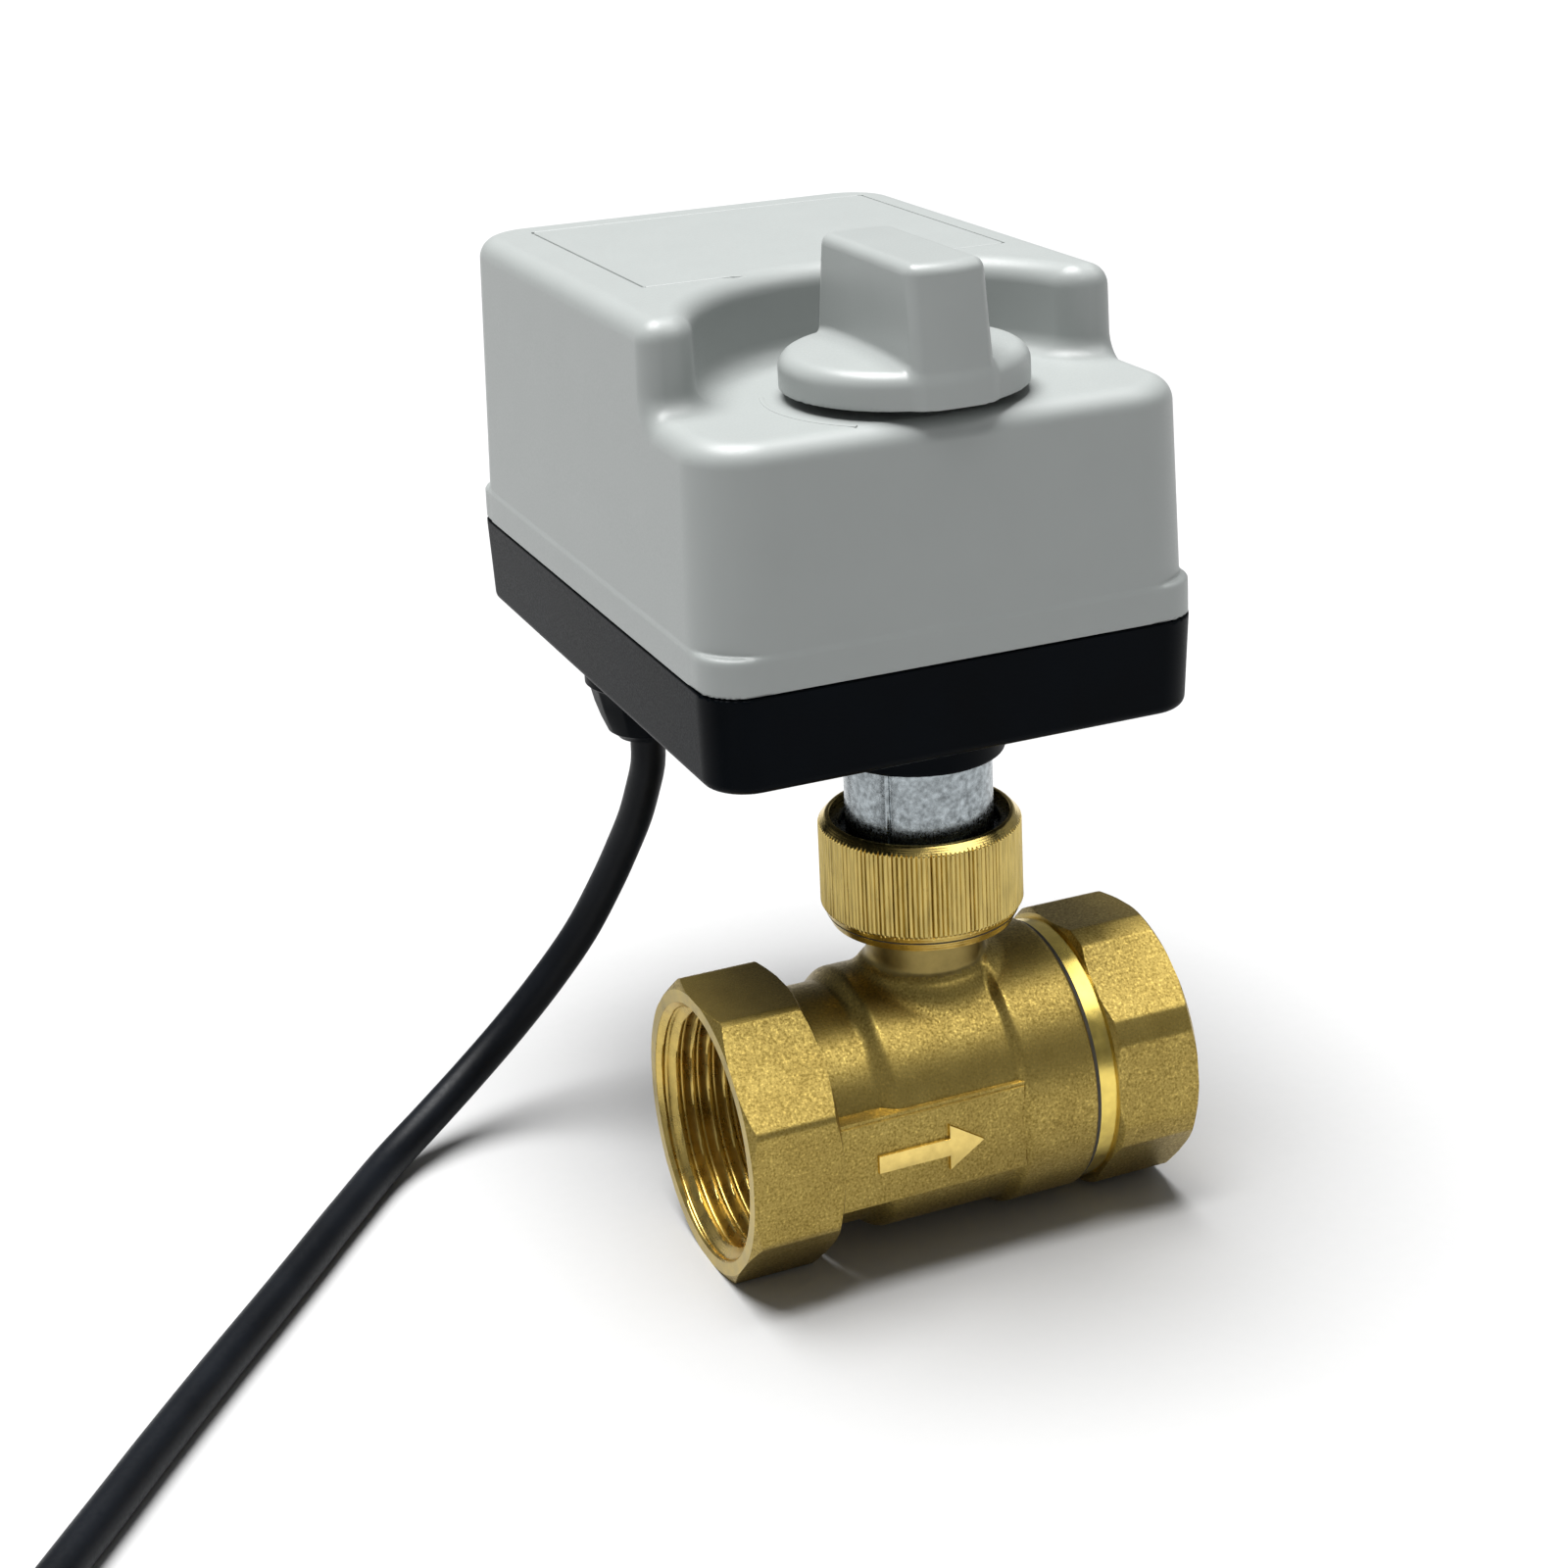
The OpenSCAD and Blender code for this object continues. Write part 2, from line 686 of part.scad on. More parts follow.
// Solid of the cover, set in by the given amount all round, from the given height
module cover_form(inset, low) {
    x = half_w - inset;
    front = -house_front + inset;
    back = back_y - inset;
    slab(-x, x, front, back, base_corner, low, parting + lip_h - inset);
    slab(-x, x, front, back, cover_corner - inset, low, platform_z - inset);
    difference() {
        intersection() {
            slab(-x, x, horn_front + inset, back, 3, low, cover_z - inset);
            slab(-x, x, front, back, cover_corner - inset, low, cover_z);
        }
        translate([0, 0, platform_z - inset]) cylinder(r = knob_bay_r + inset, h = 30);
    }
}

module top_cover() {
    color([0.8, 0.82, 0.82]) at_stem() difference() {
        union() {
            difference() {
                cover_form(0, parting);
                cover_form(wall, parting - 1);
            }
            each_of(post_xs, post_ys)
                translate([0, 0, plate_top + 0.4]) cylinder(r = 3.4, h = platform_z - plate_top - 1);
            translate([0, 0, 90.4]) cylinder(r = 8.5, h = 4);
            tube(15.8, 14.8, platform_z - 1, platform_z + 0.4);
        }
        each_of(post_xs, post_ys)
            translate([0, 0, plate_top]) cylinder(r = 1.27, h = 10, $fn = 32);
        translate([0, 0, 85]) cylinder(r = 6, h = 20);
    }
}

module cover_screws() {
    color("silver") at_stem() each_of(post_xs, post_ys) rotate([180, 0, 0])
        screw(-base_low - 1.8, 2.6, 1.4, 1.25, 20);
}

module upper_bushing() {
    color("peru") at_stem() tube(6 - eps, shaft_top_r + run_gap, 90.4, platform_z);
}

module knob() {
    color([0.82, 0.84, 0.84]) at_stem() difference() {
        union() {
            rotate_extrude() polygon([[0, knob_low], [knob_r, knob_low], [knob_r, 99.8],
                [15.2, 101.2], [13.6, knob_low + skirt_h], [0, knob_low + skirt_h]]);
            intersection() {
                slab(-grip_w / 2, grip_w / 2, -grip_l / 2, grip_l / 2, 1.5, knob_low,
                    knob_low + grip_h);
                cylinder(r = 15, h = 150);
            }
        }
        difference() {
            translate([0, 0, knob_low - 1]) cylinder(r = shaft_top_r + eps, h = 12.7);
            translate([-5, 3.2 + eps, knob_low + 1]) cube([10, 5, 20]);
        }
        tube(14, 7, knob_low - 1, knob_low + 3.4);
    }
}

module cable_gland() {
    color([0.04, 0.05, 0.06]) at_stem() translate([gland_x, gland_y, 0]) difference() {
        rotate_extrude() polygon([[1, gland_low], [4.4, gland_low], [5.6, 42.2], [6.6, 45],
            [7.6, 48.6], [gland_r, 49.2], [gland_r, base_low], [6, base_low], [6, 57.3],
            [1, 57.3]]);
        translate([0, 0, gland_low - 1]) cylinder(r = cable_r + eps, h = 20);
    }
}

module gland_locknut() {
    color([0.04, 0.05, 0.06]) at_stem() translate([gland_x, gland_y, 0]) difference() {
        translate([0, 0, floor_top]) cylinder(r = 7.8, h = 3, $fn = 6);
        translate([0, 0, floor_top - 1]) cylinder(r = 6 + eps, h = 6);
    }
}

module inner_leads() {
    color("saddlebrown") at_stem() {
        translate([gland_x, gland_y, gland_low]) cylinder(r = cable_r, h = 16.5);
        for (k = [0:2]) sweep(concat(
            [for (p = lead_route) p + [k == 1 ? 0.6 : -0.2, 1.66 * (k - 1), 0]],
            [[(terminal_xs[k] - 25) / 2, 55.4 + k, 94.4], [terminal_xs[k] - 0.6, 58.6, 93.8],
                [terminal_xs[k], 61.9, 92.9]]), core_r, 8);
    }
}

module cable() {
    color("black") at_stem() sweep(cable_route, cable_r, 10);
}

module at_coil() {
    translate([coil_x, coil_y, 0]) children();
}

module cable_coil() {
    color("black") at_stem() at_coil() tube(coil_r + cable_r, coil_r - cable_r, coil_low,
        coil_low + coil_h);
}

module cable_tie() {
    color("black") at_stem() at_coil() rotate([0, 0, 140]) rotate_extrude(angle = 7)
        translate([coil_r - cable_r - tie_t, coil_low - tie_t]) difference() {
            square([cable_d + 2 * tie_t, coil_h + 2 * tie_t]);
            translate([tie_t, tie_t]) square([cable_d, coil_h]);
        }
}

module cable_cores() {
    color("saddlebrown") at_stem() at_coil() for (k = [-1, 0, 1])
        translate([0, 0, coil_low + coil_h + core_r]) rotate([0, 0, coil_start - 50])
            rotate_extrude(angle = 50) translate([coil_r + 1.7 * k, 0])
                circle(r = core_r, $fn = 16);
}

valve_body();
end_cap();
ball();
inlet_seat();
outlet_seat();
body_seal();
stem();
thrust_washer();
stem_o_rings();
union_nut();
retaining_ring();
coupling_sleeve();
swivel_flange();
sleeve_screws();
drive_coupler();
lower_bushing();
base_housing();
chassis_plate();
plate_screws();
output_shaft();
output_gear();
switch_cams();
limit_switches();
switch_levers();
motor_can();
motor_screws();
motor_pinion();
board_standoffs();
control_board();
board_screws();
terminal_block();
relay();
capacitor();
cover_gasket();
top_cover();
cover_screws();
upper_bushing();
knob();
cable_gland();
gland_locknut();
inner_leads();
cable();
cable_coil();
cable_tie();
cable_cores();
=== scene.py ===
# Looks of the motorised zone valve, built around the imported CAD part.
# Shapes are worked out in millimetres measured from the stem axis and placed in the row frame.
import json
import math

import bpy
import numpy as np
from mathutils import Matrix, Vector


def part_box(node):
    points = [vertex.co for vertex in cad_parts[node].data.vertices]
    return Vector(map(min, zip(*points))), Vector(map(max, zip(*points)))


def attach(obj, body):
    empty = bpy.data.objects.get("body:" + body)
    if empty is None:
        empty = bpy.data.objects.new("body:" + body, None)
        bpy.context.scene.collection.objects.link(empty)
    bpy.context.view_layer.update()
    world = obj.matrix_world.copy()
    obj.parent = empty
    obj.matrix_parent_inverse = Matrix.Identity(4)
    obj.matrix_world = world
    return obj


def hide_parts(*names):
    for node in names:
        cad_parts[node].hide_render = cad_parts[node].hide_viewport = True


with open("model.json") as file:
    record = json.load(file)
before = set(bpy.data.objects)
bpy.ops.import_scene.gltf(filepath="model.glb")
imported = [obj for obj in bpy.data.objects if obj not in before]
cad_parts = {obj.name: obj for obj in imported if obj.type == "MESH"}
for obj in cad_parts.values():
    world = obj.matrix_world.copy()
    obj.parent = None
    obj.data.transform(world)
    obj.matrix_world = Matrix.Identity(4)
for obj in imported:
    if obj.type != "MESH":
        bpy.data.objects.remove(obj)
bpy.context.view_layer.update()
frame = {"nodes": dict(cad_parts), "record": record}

MM = 0.001
STEM_X = sum(corner[0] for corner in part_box("thrust_washer")) / 2


def box_mm(node):
    """Lowest and highest corner of a CAD node, in millimetres from the stem axis."""
    low, high = (np.array(corner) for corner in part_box(node))
    shift = np.array([STEM_X, 0, 0])
    return (low - shift) / MM, (high - shift) / MM


# Sizes read from the frame
BODY_LOW, BODY_HIGH = box_mm("valve_body")
CAP_HIGH = box_mm("end_cap")[1]
NUT_LOW, NUT_HIGH = box_mm("union_nut")
RING_LOW, RING_HIGH = box_mm("retaining_ring")
SLEEVE_LOW, SLEEVE_HIGH = box_mm("coupling_sleeve")
BASE_LOW, BASE_HIGH = box_mm("base_housing")
COVER_HIGH = box_mm("top_cover")[1]
KNOB_LOW, KNOB_HIGH = box_mm("knob")
GLAND_LOW, GLAND_HIGH = box_mm("cable_gland")
COIL_LOW, COIL_HIGH = box_mm("cable_coil")

# Pipe ends
THREAD_R = 15.15
THREAD_DEPTH = 1.47
THREAD_RING_R = 17.0
PITCH = 2.309
MOUTH_R = 16.9
WAY_R = 10
INLET_X = BODY_LOW[0]
OUTLET_X = CAP_HIGH[0]
OCTAGON_BACK = -20.5
INLET_FLATS = 36.8
OUTLET_FLATS = 36
OUTLET_TURN = math.radians(-5)
SEAM_X = BODY_HIGH[0]
COLLAR_END = 19.3
PAD_Y = -17.4
ARROW_X = -15.5

# Housing
HALF_W = BASE_HIGH[0]
FRONT_Y = BASE_LOW[1]
BACK_Y = BASE_HIGH[1]
PARTING = BASE_HIGH[2]
FLOOR_Z = 51.3
COVER_TOP = COVER_HIGH[2]
PLATFORM = PARTING + 31
LIP_TOP = PARTING + 5
WALL = 2.2
BAY_R = 26.5
HORN_FRONT = 4.5
POSTS = [(x, y) for x in (-29, 29) for y in (-10.6, 76.2)]
PILLARS = [(x, y) for x in (-28.5, 28.5) for y in (24, 66)]
LABEL = (-25, 28, 26, 74)

# Cable
CABLE_R = 2.5
GLAND_X = (GLAND_LOW[0] + GLAND_HIGH[0]) / 2
GLAND_Y = (GLAND_LOW[1] + GLAND_HIGH[1]) / 2
SURFACE_Z = BODY_LOW[2]
REST_Z = SURFACE_Z + CABLE_R
TIE_T = 0.8
COIL_X = (COIL_LOW[0] + COIL_HIGH[0]) / 2
COIL_Y = (COIL_LOW[1] + COIL_HIGH[1]) / 2
COIL_R = (COIL_HIGH[0] - COIL_LOW[0]) / 2 - CABLE_R
COIL_START = math.radians(-37.7)
COIL_TURNS = 3


# ---- Camera ----------------------------------------------------------------------------------

def make_camera():
    azimuth, elevation, roll = (math.radians(a) for a in (-22.277, 13.658, -2.548))
    back = Vector((math.sin(azimuth) * math.cos(elevation),
                   -math.cos(azimuth) * math.cos(elevation), math.sin(elevation)))
    right = (-back).cross(Vector((0, 0, 1))).normalized()
    up = right.cross(-back)
    side = right * math.cos(roll) + up * math.sin(roll)
    top = up * math.cos(roll) - right * math.sin(roll)
    data = bpy.data.cameras.new("camera")
    data.sensor_width = 36
    data.lens = 63.067
    data.shift_y = -0.25
    data.clip_start = 0.01
    data.clip_end = 50
    camera = bpy.data.objects.new("camera", data)
    bpy.context.scene.collection.objects.link(camera)
    turn = Matrix((side, top, back)).transposed().to_4x4()
    camera.matrix_world = Matrix.Translation((-0.11109, -0.30697, 0.17775)) @ turn
    bpy.context.scene.camera = camera


# ---- Mesh building ---------------------------------------------------------------------------

def add_object(name, points, faces, normals=None, sharp=None):
    """A mesh object from points in millimetres. Normals are per point; sharp is an angle."""
    points = np.asarray(points, float).copy()
    points[:, 0] += STEM_X / MM
    mesh = bpy.data.meshes.new(name)
    mesh.from_pydata((points * MM).tolist(), [], [list(map(int, f)) for f in faces])
    mesh.update()
    mesh.shade_smooth()
    if normals is not None:
        mesh.normals_split_custom_set_from_vertices(normals.tolist())
    elif sharp is not None:
        mesh.set_sharp_from_angle(angle=math.radians(sharp))
    obj = bpy.data.objects.new(name, mesh)
    bpy.context.scene.collection.objects.link(obj)
    return obj


def joined(name, objects):
    """One object from several, keeping their materials."""
    with bpy.context.temp_override(active_object=objects[0], selected_editable_objects=objects,
                                   selected_objects=objects, object=objects[0]):
        bpy.ops.object.join()
    objects[0].name = name
    return objects[0]


def band_faces(rows, columns, close_rows):
    """Quads over a rows x columns grid of points that closes round its columns."""
    r = np.arange(rows if close_rows else rows - 1)
    c = np.arange(columns)
    a = (r[:, None] * columns + c[None, :]).ravel()
    b = (r[:, None] * columns + (c[None, :] + 1) % columns).ravel()
    above = ((r + 1) % rows)[:, None] * columns
    d = (above + c[None, :]).ravel()
    e = (above + (c[None, :] + 1) % columns).ravel()
    return np.stack([a, b, e, d], axis=1)


def lathe(name, profile, columns, axis="z", centre=(0, 0), sharp=30, turn=0):
    """A ring of revolution. The profile is a closed run of (station, radius), where a radius
    may be a function of the angle; it runs so that the solid is on its left."""
    angle = np.arange(columns) * 2 * math.pi / columns + turn
    points = []
    for station, radius in profile:
        r = radius(angle) if callable(radius) else np.full(columns, float(radius))
        u, v, w = r * np.cos(angle), r * np.sin(angle), np.full(columns, float(station))
        if axis == "z":
            points.append(np.stack([u + centre[0], v + centre[1], w], axis=1))
        else:
            points.append(np.stack([w, u, v], axis=1))
    faces = band_faces(len(profile), columns, True)
    return add_object(name, np.concatenate(points), faces, sharp=sharp)


def arc(name, section, start, end, columns):
    """Part of a ring round the stem: the section is a loop of (radius, height)."""
    angle = np.radians(np.linspace(start, end, columns))
    points = [[r * math.cos(a), r * math.sin(a), z] for r, z in section for a in angle]
    rows = len(section)
    faces = []
    for i in range(rows):
        j = (i + 1) % rows
        faces += [[i * columns + k, i * columns + k + 1, j * columns + k + 1, j * columns + k]
                  for k in range(columns - 1)]
    faces.append([i * columns for i in range(rows)])
    faces.append([i * columns + columns - 1 for i in range(rows)][::-1])
    return add_object(name, points, faces, sharp=35)


def tube(name, path, radius, sides):
    """A closed tube with flat ends along a path of points."""
    path = np.asarray(path, float)
    heading = np.gradient(path, axis=0)
    heading /= np.linalg.norm(heading, axis=1)[:, None]
    side = np.cross(heading[0], [0, 1, 0])
    rings = []
    angle = np.arange(sides) * 2 * math.pi / sides
    for p, t in zip(path, heading):
        side = side - side.dot(t) * t
        side /= np.linalg.norm(side)
        other = np.cross(t, side)
        rings.append(p + radius * (np.cos(angle)[:, None] * side
                                   + np.sin(angle)[:, None] * other))
    faces = [list(f) for f in band_faces(len(path), sides, False)]
    faces.append(list(range(sides))[::-1])
    faces.append([(len(path) - 1) * sides + k for k in range(sides)])
    return add_object(name, np.concatenate(rings), faces, sharp=50)


def curve_through(points, spacing):
    """Points at even spacing along a smooth curve through the given points."""
    p = np.asarray(points, float)
    p = np.vstack([2 * p[0] - p[1], p, 2 * p[-1] - p[-2]])
    fine = []
    for a, b, c, d in zip(p, p[1:], p[2:], p[3:]):
        t = np.linspace(0, 1, 24, endpoint=False)[:, None]
        fine.append(0.5 * (2 * b + (c - a) * t + (2 * a - 5 * b + 4 * c - d) * t ** 2
                           + (3 * b - a - 3 * c + d) * t ** 3))
    fine = np.vstack([*fine, p[-2:-1]])
    run = np.concatenate([[0], np.cumsum(np.linalg.norm(np.diff(fine, axis=0), axis=1))])
    even = np.linspace(0, run[-1], int(run[-1] / spacing) + 2)
    return np.stack([np.interp(even, run, fine[:, k]) for k in range(3)], axis=1)


# ---- Shapes as distance fields ---------------------------------------------------------------

def rmax(a, b, r):
    """Both: the edge where they meet is rounded to radius r."""
    both = np.hypot(np.maximum(a + r, 0), np.maximum(b + r, 0))
    return np.minimum(np.maximum(a, b) + r, 0) + both - r


def rmin(a, b, r):
    """Either: the inner corner where they meet is filled to radius r."""
    return -rmax(-a, -b, r)


def rect(x, y, sides, r):
    """Distance to a rounded rectangle given as (x0, x1, y0, y1)."""
    x0, x1, y0, y1 = sides
    qx = np.abs(x - (x0 + x1) / 2) - (x1 - x0) / 2 + r
    qy = np.abs(y - (y0 + y1) / 2) - (y1 - y0) / 2 + r
    return np.minimum(np.maximum(qx, qy), 0) + np.hypot(np.maximum(qx, 0),
                                                        np.maximum(qy, 0)) - r


def between(z, low, high):
    return np.maximum(low - z, z - high)


def nearest(x, y, spots, r):
    """Distance to the nearest of several upright posts of radius r."""
    return np.min([np.hypot(x - a, y - b) for a, b in spots], axis=0) - r


def ticks(low, high, step, fine_step, fine):
    """Grid lines from low to high: close together inside the fine spans."""
    marks = [low]
    while marks[-1] < high:
        here = marks[-1]
        near = any(a <= here < b for a, b in fine)
        ahead = [a for a, b in fine if a > here]
        reach = fine_step if near else min([step] + [a - here for a in ahead])
        marks.append(here + max(reach, fine_step))
    return np.array(marks)


def grid_lines(low, high, step, fine_step, fine, finest_step, finest):
    """Grid lines with fine and finest spans, kept apart by at least a hair."""
    coarse = ticks(low, high, step, fine_step, fine)
    close = [ticks(a, b, finest_step, finest_step, []) for a, b in finest]
    keep = [v for v in coarse if not any(a - 0.08 < v < b + 0.08 for a, b in finest)]
    return np.unique(np.concatenate([keep, *close]).round(4))


def slopes(shape, p, e=0.02):
    """The gradient of a shape's distance at each point."""
    g = np.empty_like(p)
    for k in range(3):
        d = np.zeros(3)
        d[k] = e
        g[:, k] = (shape(*(p + d).T) - shape(*(p - d).T)) / (2 * e)
    return g


def skin(name, shape, xs, ys, zs):
    """A mesh of the surface where the shape's distance is 0, on a grid of cells."""
    field = shape(*np.meshgrid(xs, ys, zs, indexing="ij"))
    inside = field < 0
    cells = tuple(n - 1 for n in field.shape)
    total = np.zeros(cells + (3,))
    count = np.zeros(cells)
    lines = (xs, ys, zs)
    crossings = []
    for axis in range(3):
        first = [slice(None)] * 3
        second = [slice(None)] * 3
        first[axis], second[axis] = slice(0, -1), slice(1, None)
        a, b = field[tuple(first)], field[tuple(second)]
        where = np.argwhere(inside[tuple(first)] != inside[tuple(second)])
        va, vb = a[tuple(where.T)], b[tuple(where.T)]
        at = np.stack([lines[k][where[:, k]] for k in range(3)], axis=1)
        gap = lines[axis][where[:, axis] + 1] - lines[axis][where[:, axis]]
        at[:, axis] += gap * va / (va - vb)
        others = [k for k in range(3) if k != axis]
        for da in (0, 1):
            for db in (0, 1):
                cell = where.copy()
                cell[:, others[0]] -= da
                cell[:, others[1]] -= db
                ok = np.all((cell >= 0) & (cell < cells), axis=1)
                np.add.at(total, tuple(cell[ok].T), at[ok])
                np.add.at(count, tuple(cell[ok].T), 1)
        crossings.append((axis, others, where, va < 0))
    used = np.argwhere(count > 0)
    index = np.full(cells, -1)
    index[tuple(used.T)] = np.arange(len(used))
    points = total[tuple(used.T)] / count[tuple(used.T)][:, None]
    faces = []
    for axis, others, where, leaving in crossings:
        corner = []
        for da, db in ((1, 1), (0, 1), (0, 0), (1, 0)):
            cell = where.copy()
            cell[:, others[0]] -= da
            cell[:, others[1]] -= db
            corner.append(index[tuple(np.clip(cell, 0, np.array(cells) - 1).T)])
        quad = np.stack(corner, axis=1)
        forward = leaving if axis != 1 else ~leaving
        quad[~forward] = quad[~forward][:, ::-1]
        faces.append(quad)
    faces = np.concatenate(faces)
    for _ in range(4):
        g = slopes(shape, points)
        step = shape(*points.T)[:, None] * g / np.maximum((g * g).sum(1), 0.3)[:, None]
        points -= np.clip(step, -0.3, 0.3)
    g = slopes(shape, points)
    normals = g / np.maximum(np.linalg.norm(g, axis=1), 1e-6)[:, None]
    return add_object(name, points, faces, normals=normals)


# ---- Materials -------------------------------------------------------------------------------

def blank(name):
    mat = bpy.data.materials.new(name)
    mat.use_nodes = True
    tree = mat.node_tree
    shader = tree.nodes["Principled BSDF"]
    where = tree.nodes.new("ShaderNodeTexCoord").outputs["Object"]
    return mat, tree, shader, where


def noise(tree, where, size_mm, detail=3, rough=0.5, stretch=(1, 1, 1)):
    """A noise whose features are about size_mm across."""
    squash = tree.nodes.new("ShaderNodeMapping")
    squash.inputs["Scale"].default_value = stretch
    tree.links.new(where, squash.inputs["Vector"])
    node = tree.nodes.new("ShaderNodeTexNoise")
    node.inputs["Scale"].default_value = 1 / (size_mm * MM)
    node.inputs["Detail"].default_value = detail
    node.inputs["Roughness"].default_value = rough
    tree.links.new(squash.outputs["Vector"], node.inputs["Vector"])
    return node.outputs["Fac"]


def ramp(tree, source, stops):
    """Maps a value to colours: stops are (position, colour)."""
    node = tree.nodes.new("ShaderNodeValToRGB")
    while len(node.color_ramp.elements) < len(stops):
        node.color_ramp.elements.new(0.5)
    for element, (position, colour) in zip(node.color_ramp.elements, stops):
        element.position = position
        element.color = (*colour, 1)
    tree.links.new(source, node.inputs["Fac"])
    return node.outputs["Color"]


def spread(tree, source, low, high):
    """Maps 0.3..0.7 of a noise to low..high."""
    node = tree.nodes.new("ShaderNodeMapRange")
    node.inputs["From Min"].default_value = 0.3
    node.inputs["From Max"].default_value = 0.7
    node.inputs["To Min"].default_value = low
    node.inputs["To Max"].default_value = high
    tree.links.new(source, node.inputs["Value"])
    return node.outputs["Result"]


def bumped(tree, shader, layers):
    """Chains bump layers (source, depth in mm, strength) into the shader's normal."""
    normal = None
    for source, depth, strength in layers:
        node = tree.nodes.new("ShaderNodeBump")
        node.inputs["Distance"].default_value = depth * MM
        node.inputs["Strength"].default_value = strength
        tree.links.new(source, node.inputs["Height"])
        if normal is not None:
            tree.links.new(normal, node.inputs["Normal"])
        normal = node.outputs["Normal"]
    tree.links.new(normal, shader.inputs["Normal"])


def shade(colour, k):
    return tuple(min(1, c * k) for c in colour)


def finish_of(name, colour, rough, metallic=0, vary=0.12, cloud_mm=6, grain_mm=0.4,
              grain_depth=0.02, grain=0.3, rough_vary=0.06, stretch=(1, 1, 1), coat=0,
              specular=0.5):
    """A finish with large soft clouds of tone, fine grain and uneven roughness."""
    mat, tree, shader, where = blank(name)
    clouds = noise(tree, where, cloud_mm, stretch=stretch)
    tree.links.new(ramp(tree, clouds, [(0.3, shade(colour, 1 - vary)),
                                       (0.7, shade(colour, 1 + vary))]),
                   shader.inputs["Base Color"])
    fine = noise(tree, where, grain_mm, detail=2, stretch=stretch)
    tree.links.new(spread(tree, fine, rough - rough_vary, rough + rough_vary),
                   shader.inputs["Roughness"])
    shader.inputs["Metallic"].default_value = metallic
    shader.inputs["Coat Weight"].default_value = coat
    shader.inputs["Specular IOR Level"].default_value = specular
    bumped(tree, shader, [(fine, grain_depth, grain)])
    return mat


def forged_brass(name, dark, light, rough):
    """Sand-blasted forging: pale grains that sparkle over a slightly darker, mottled skin."""
    mat, tree, shader, where = blank(name)
    clouds = noise(tree, where, 4, detail=4, rough=0.6)
    grains = noise(tree, where, 0.34, detail=2, rough=0.6)
    tone = ramp(tree, grains, [(0.36, dark), (0.46, shade(light, 0.7)), (0.6, shade(light, 0.8)),
                               (0.68, shade(light, 1.15))])
    soft = ramp(tree, clouds, [(0.3, (0.82, 0.80, 0.76)), (0.7, (1, 1, 1))])
    mix = tree.nodes.new("ShaderNodeMix")
    mix.data_type = "RGBA"
    mix.blend_type = "MULTIPLY"
    mix.inputs["Factor"].default_value = 1
    tree.links.new(tone, mix.inputs[6])
    tree.links.new(soft, mix.inputs[7])
    tree.links.new(mix.outputs[2], shader.inputs["Base Color"])
    tree.links.new(spread(tree, grains, rough + 0.08, rough - 0.12), shader.inputs["Roughness"])
    shader.inputs["Metallic"].default_value = 1
    pits = noise(tree, where, 0.8, detail=3)
    bumped(tree, shader, [(pits, 0.03, 0.35), (grains, 0.03, 0.6)])
    return mat


def machined(name, colour, rough, axis, pitch_mm, depth=0.012):
    """Turned metal: fine rings round the given axis over a faint mottle."""
    mat, tree, shader, where = blank(name)
    centre = tree.nodes.new("ShaderNodeMapping")
    centre.inputs["Location"].default_value = (-STEM_X, 0, 0) if axis == "Z" else (0, 0, 0)
    tree.links.new(where, centre.inputs["Vector"])
    rings = tree.nodes.new("ShaderNodeTexWave")
    rings.wave_type = "RINGS"
    rings.rings_direction = axis
    rings.inputs["Scale"].default_value = 1 / (pitch_mm * MM) / 2
    rings.inputs["Distortion"].default_value = 0.6
    rings.inputs["Detail"].default_value = 2
    tree.links.new(centre.outputs["Vector"], rings.inputs["Vector"])
    clouds = noise(tree, where, 2.5, detail=4, rough=0.6)
    tree.links.new(ramp(tree, clouds, [(0.32, shade(colour, 0.8)), (0.68, shade(colour, 1.12))]),
                   shader.inputs["Base Color"])
    tree.links.new(spread(tree, clouds, rough - 0.05, rough + 0.07), shader.inputs["Roughness"])
    shader.inputs["Metallic"].default_value = 1
    bumped(tree, shader, [(clouds, 0.02, 0.3), (rings.outputs["Fac"], depth, 0.35)])
    return mat


BRASS_DARK = (0.28, 0.20, 0.048)
BRASS_LIGHT = (0.54, 0.40, 0.112)

